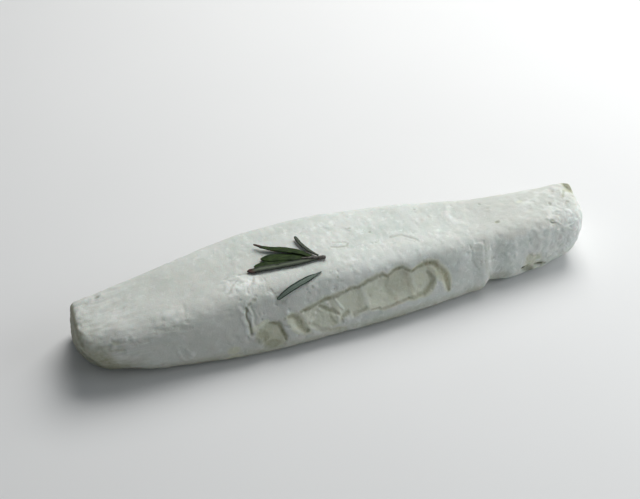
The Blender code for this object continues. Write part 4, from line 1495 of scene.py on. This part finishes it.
@dataclass
class Sprig:
    """The sprig: a short woody stem and the five needles that grow from it."""

    stem_base: Place = (-0.01120, -0.00850)
    stem_tip: Place = (-0.02090, -0.00520)
    stem_radius: float = 0.00080
    stem_end: float = 0.00045
    stem_rows: int = 16
    stem_sides: int = 16
    stem_lift: float = 0.0003
    knobs: tuple = ((0.22, 0.12, 0.10), (0.18, 0.5, 0.08))
    worn_least: float = 0.70
    worn_rest: float = 0.30
    worn_run: float = 0.06
    cut_run: float = 0.01
    bevel: float = 0.00012
    bevel_segments: int = 2

    def needles(self) -> list[Needle]:
        """The five needles.

        Returns:
            The needles, from the back to the front.
        """
        return [
            Needle("needle_back", (-0.01370, -0.00620), (-0.01960, 0.00790), 0.0019, Face.FELT,
                   (0.0006, 0.0011), 0.0012, roll=0.35, tip_reach=0.20, tip_share=0.60, felt_half=0.12),
            Needle("needle_high", (-0.01690, -0.00560), (-0.03770, 0.00920), 0.0037, Face.GREEN,
                   (0.0008, 0.0016), -0.0004, -0.0007, 0.25, tip_share=0.24, tip_reach=0.46, tip_power=0.85,
                   tip_brown=0.8, brown_from=0.80),
            Needle("needle_mid", (-0.01790, -0.00540), (-0.03720, 0.00050), 0.0046, Face.GREEN,
                   (0.0004, 0.0006), -0.0006, roll=0.12),
            Needle("needle_low", (-0.01940, -0.00590), (-0.04110, -0.00270), 0.0046, Face.GREEN,
                   (0.0002, 0.0003), 0.0003, roll=-0.10),
            Needle("needle_front", (-0.01320, -0.00770), (-0.04470, -0.00490), 0.0032, Face.FELT,
                   (0.0004, 0.0006), -0.0003, roll=0.15, tip_share=0.40, tip_reach=0.14, tip_brown=1.0,
                   felt_half=0.40),
        ]

    def build(self, rest: Rest) -> list[bpy.types.Object]:
        """Model the stem and its needles.

        Args:
            rest: The rind under them.

        Returns:
            The stem and the needles.
        """
        green = LeafFinish("rosemary_green").make()
        grey = LeafFinish("rosemary_grey", green=(0.032, 0.038, 0.030), light=(0.055, 0.064, 0.045),
                          felt=(0.125, 0.145, 0.105)).make()
        pieces = [self.stem(rest)]
        for needle in self.needles():
            pieces.append(needle.build(rest, green if needle.face is Face.GREEN else grey))
        return pieces

    def stem(self, rest: Rest) -> bpy.types.Object:
        """Model the stem: a tapered rod along the rind, with a bevelled cut end.

        Args:
            rest: The rind under it.

        Returns:
            The stem.
        """
        bpy.ops.object.select_all(action="DESELECT")
        bpy.ops.mesh.primitive_cylinder_add(vertices=self.stem_sides, radius=1.0, depth=1.0,
                                            end_fill_type="NGON", location=(0.0, 0.0, 0.0))
        thing = bpy.context.active_object
        thing.name = "sprig_stem"
        split_lengthwise(thing, self.stem_rows)
        skin = Skin(thing)
        shares = np.clip(skin.points[:, 2] + 0.5, 0.0, 1.0)
        run = Vector(self.stem_tip) - Vector(self.stem_base)
        ahead = Vector((run.x, run.y, 0.0)).normalized()
        for index, share in enumerate(shares):
            place = Vector(self.stem_base) + run * share
            centre, up = rest.over(place.x, place.y, self.stem_radius + self.stem_lift)
            side = up.cross(ahead).normalized()
            radius = self.stem_radius + (self.stem_end - self.stem_radius) * share
            worn = self.worn_least + self.worn_rest * min(share / self.worn_run, 1.0)
            knob = 1.0
            for height, middle, half in self.knobs:
                knob += height * math.exp(-(((share - middle) / half) ** 2))
            across, over, _ = skin.points[index]
            skin.points[index] = centre + (side * across + up * over) * radius * knob * worn
        skin.write()
        skin.paint("cut", np.where(shares < self.cut_run, 1.0, 0.0))
        bevel = thing.modifiers.new("worn", "BEVEL")
        bevel.width = self.bevel
        bevel.segments = self.bevel_segments
        bevel.limit_method = "ANGLE"
        apply_modifiers(thing)
        subdivision(thing, 1)
        thing.data.materials.append(StemFinish().make())
        bpy.ops.object.shade_smooth()
        return thing


@dataclass
class Studio:
    """Pale floor, soft light from above, behind and the right, and the camera."""

    floor_half: float = 3.0
    lens: float = 50.0
    sensor: float = 36.0
    azimuth: float = -19.5
    elevation: float = 44.0
    distance: float = 0.402
    target: tuple = (-0.00587, 0.01391, 0.012)
    clip_start: float = 0.01
    ambient: float = 0.15
    sky: Colour = (0.90, 0.96, 1.0)
    lamps: tuple = (
        ("light_above", (0.30, 0.35, 0.65), 0.55, 6.3, (1.0, 1.0, 0.985)),
        ("light_right", (0.50, -0.30, 0.35), 0.4, 1.0, (0.91, 0.965, 1.0)),
        ("light_end", (0.60, 0.02, 0.12), 0.3, 1.1, (1.0, 1.0, 0.99)),
    )

    def floor(self) -> bpy.types.Object:
        """Lay the floor.

        Returns:
            The floor.
        """
        bpy.ops.object.select_all(action="DESELECT")
        bpy.ops.mesh.primitive_plane_add(size=2 * self.floor_half, location=(0.0, 0.0, 0.0))
        floor = bpy.context.active_object
        floor.name = "floor"
        floor.data.materials.append(FloorFinish().make())
        return floor

    def lamp(self, name: str, place: Sequence[float], size: float, power: float, colour: Colour) -> None:
        """Hang a square soft light that looks at the log.

        Args:
            name: Its name.
            place: Where it hangs.
            size: Length of its side.
            power: Its power in watts.
            colour: Its colour.
        """
        light = bpy.data.lights.new(name, "AREA")
        light.shape = "SQUARE"
        light.size = size
        light.energy = power
        light.color = colour
        lamp = bpy.data.objects.new(name, light)
        lamp.location = place
        lamp.rotation_euler = Vector(place).to_track_quat("Z", "Y").to_euler()
        bpy.context.scene.collection.objects.link(lamp)

    def light(self) -> None:
        """Set the soft lights and the pale surroundings."""
        for lamp in self.lamps:
            self.lamp(*lamp)
        world = bpy.data.worlds.new("surroundings")
        world.use_nodes = True
        background = world.node_tree.nodes["Background"]
        background.inputs["Color"].default_value = (*self.sky, 1.0)
        background.inputs["Strength"].default_value = self.ambient
        bpy.context.scene.world = world
        bpy.context.scene.view_settings.view_transform = "Standard"

    def camera(self) -> bpy.types.Object:
        """Place the camera.

        Returns:
            The camera.
        """
        lens = bpy.data.cameras.new("camera")
        lens.lens = self.lens
        lens.sensor_width = self.sensor
        lens.clip_start = self.clip_start
        camera = bpy.data.objects.new("camera", lens)
        azimuth, elevation = math.radians(self.azimuth), math.radians(self.elevation)
        level = math.cos(elevation)
        back = Vector((math.sin(azimuth) * level, -math.cos(azimuth) * level, math.sin(elevation)))
        camera.location = Vector(self.target) + back * self.distance
        camera.rotation_euler = back.to_track_quat("Z", "Y").to_euler()
        bpy.context.scene.collection.objects.link(camera)
        bpy.context.scene.camera = camera
        return camera


def place_piece(piece: bpy.types.Object, node: Optional[str] = None) -> None:
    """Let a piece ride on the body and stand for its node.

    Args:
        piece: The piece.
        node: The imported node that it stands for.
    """
    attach(piece, BODY)
    if node is not None:
        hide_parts(node)
    LOG.info("%s: %d faces", piece.name, len(piece.data.polygons))


def main() -> None:
    """Build the cheese, the rosemary and the studio."""
    logging.basicConfig(level=logging.INFO, format="%(message)s")
    log = CheeseLog().build(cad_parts["cheese"])
    place_piece(log, "cheese")
    rest = Rest(log)
    for piece in Sprig().build(rest):
        place_piece(piece, "rosemary_sprig")
    loose = Needle("loose_needle", (-0.01520, -0.01440), (-0.03620, -0.01920), 0.0026, Face.FELT,
                   (0.0001, 0.0001), -0.0002, base_share=0.20, tip_share=0.52, tip_reach=0.36, tip_power=1.8,
                   felt_half=0.60)
    finish = LeafFinish("needle_grey_green", green=(0.022, 0.036, 0.026), light=(0.050, 0.074, 0.055),
                        felt=(0.185, 0.230, 0.195)).make()
    place_piece(loose.build(rest, finish), "rosemary_needle")
    studio = Studio()
    studio.floor()
    studio.light()
    studio.camera()
    bpy.context.view_layer.update()


if __name__ == "__main__":
    main()
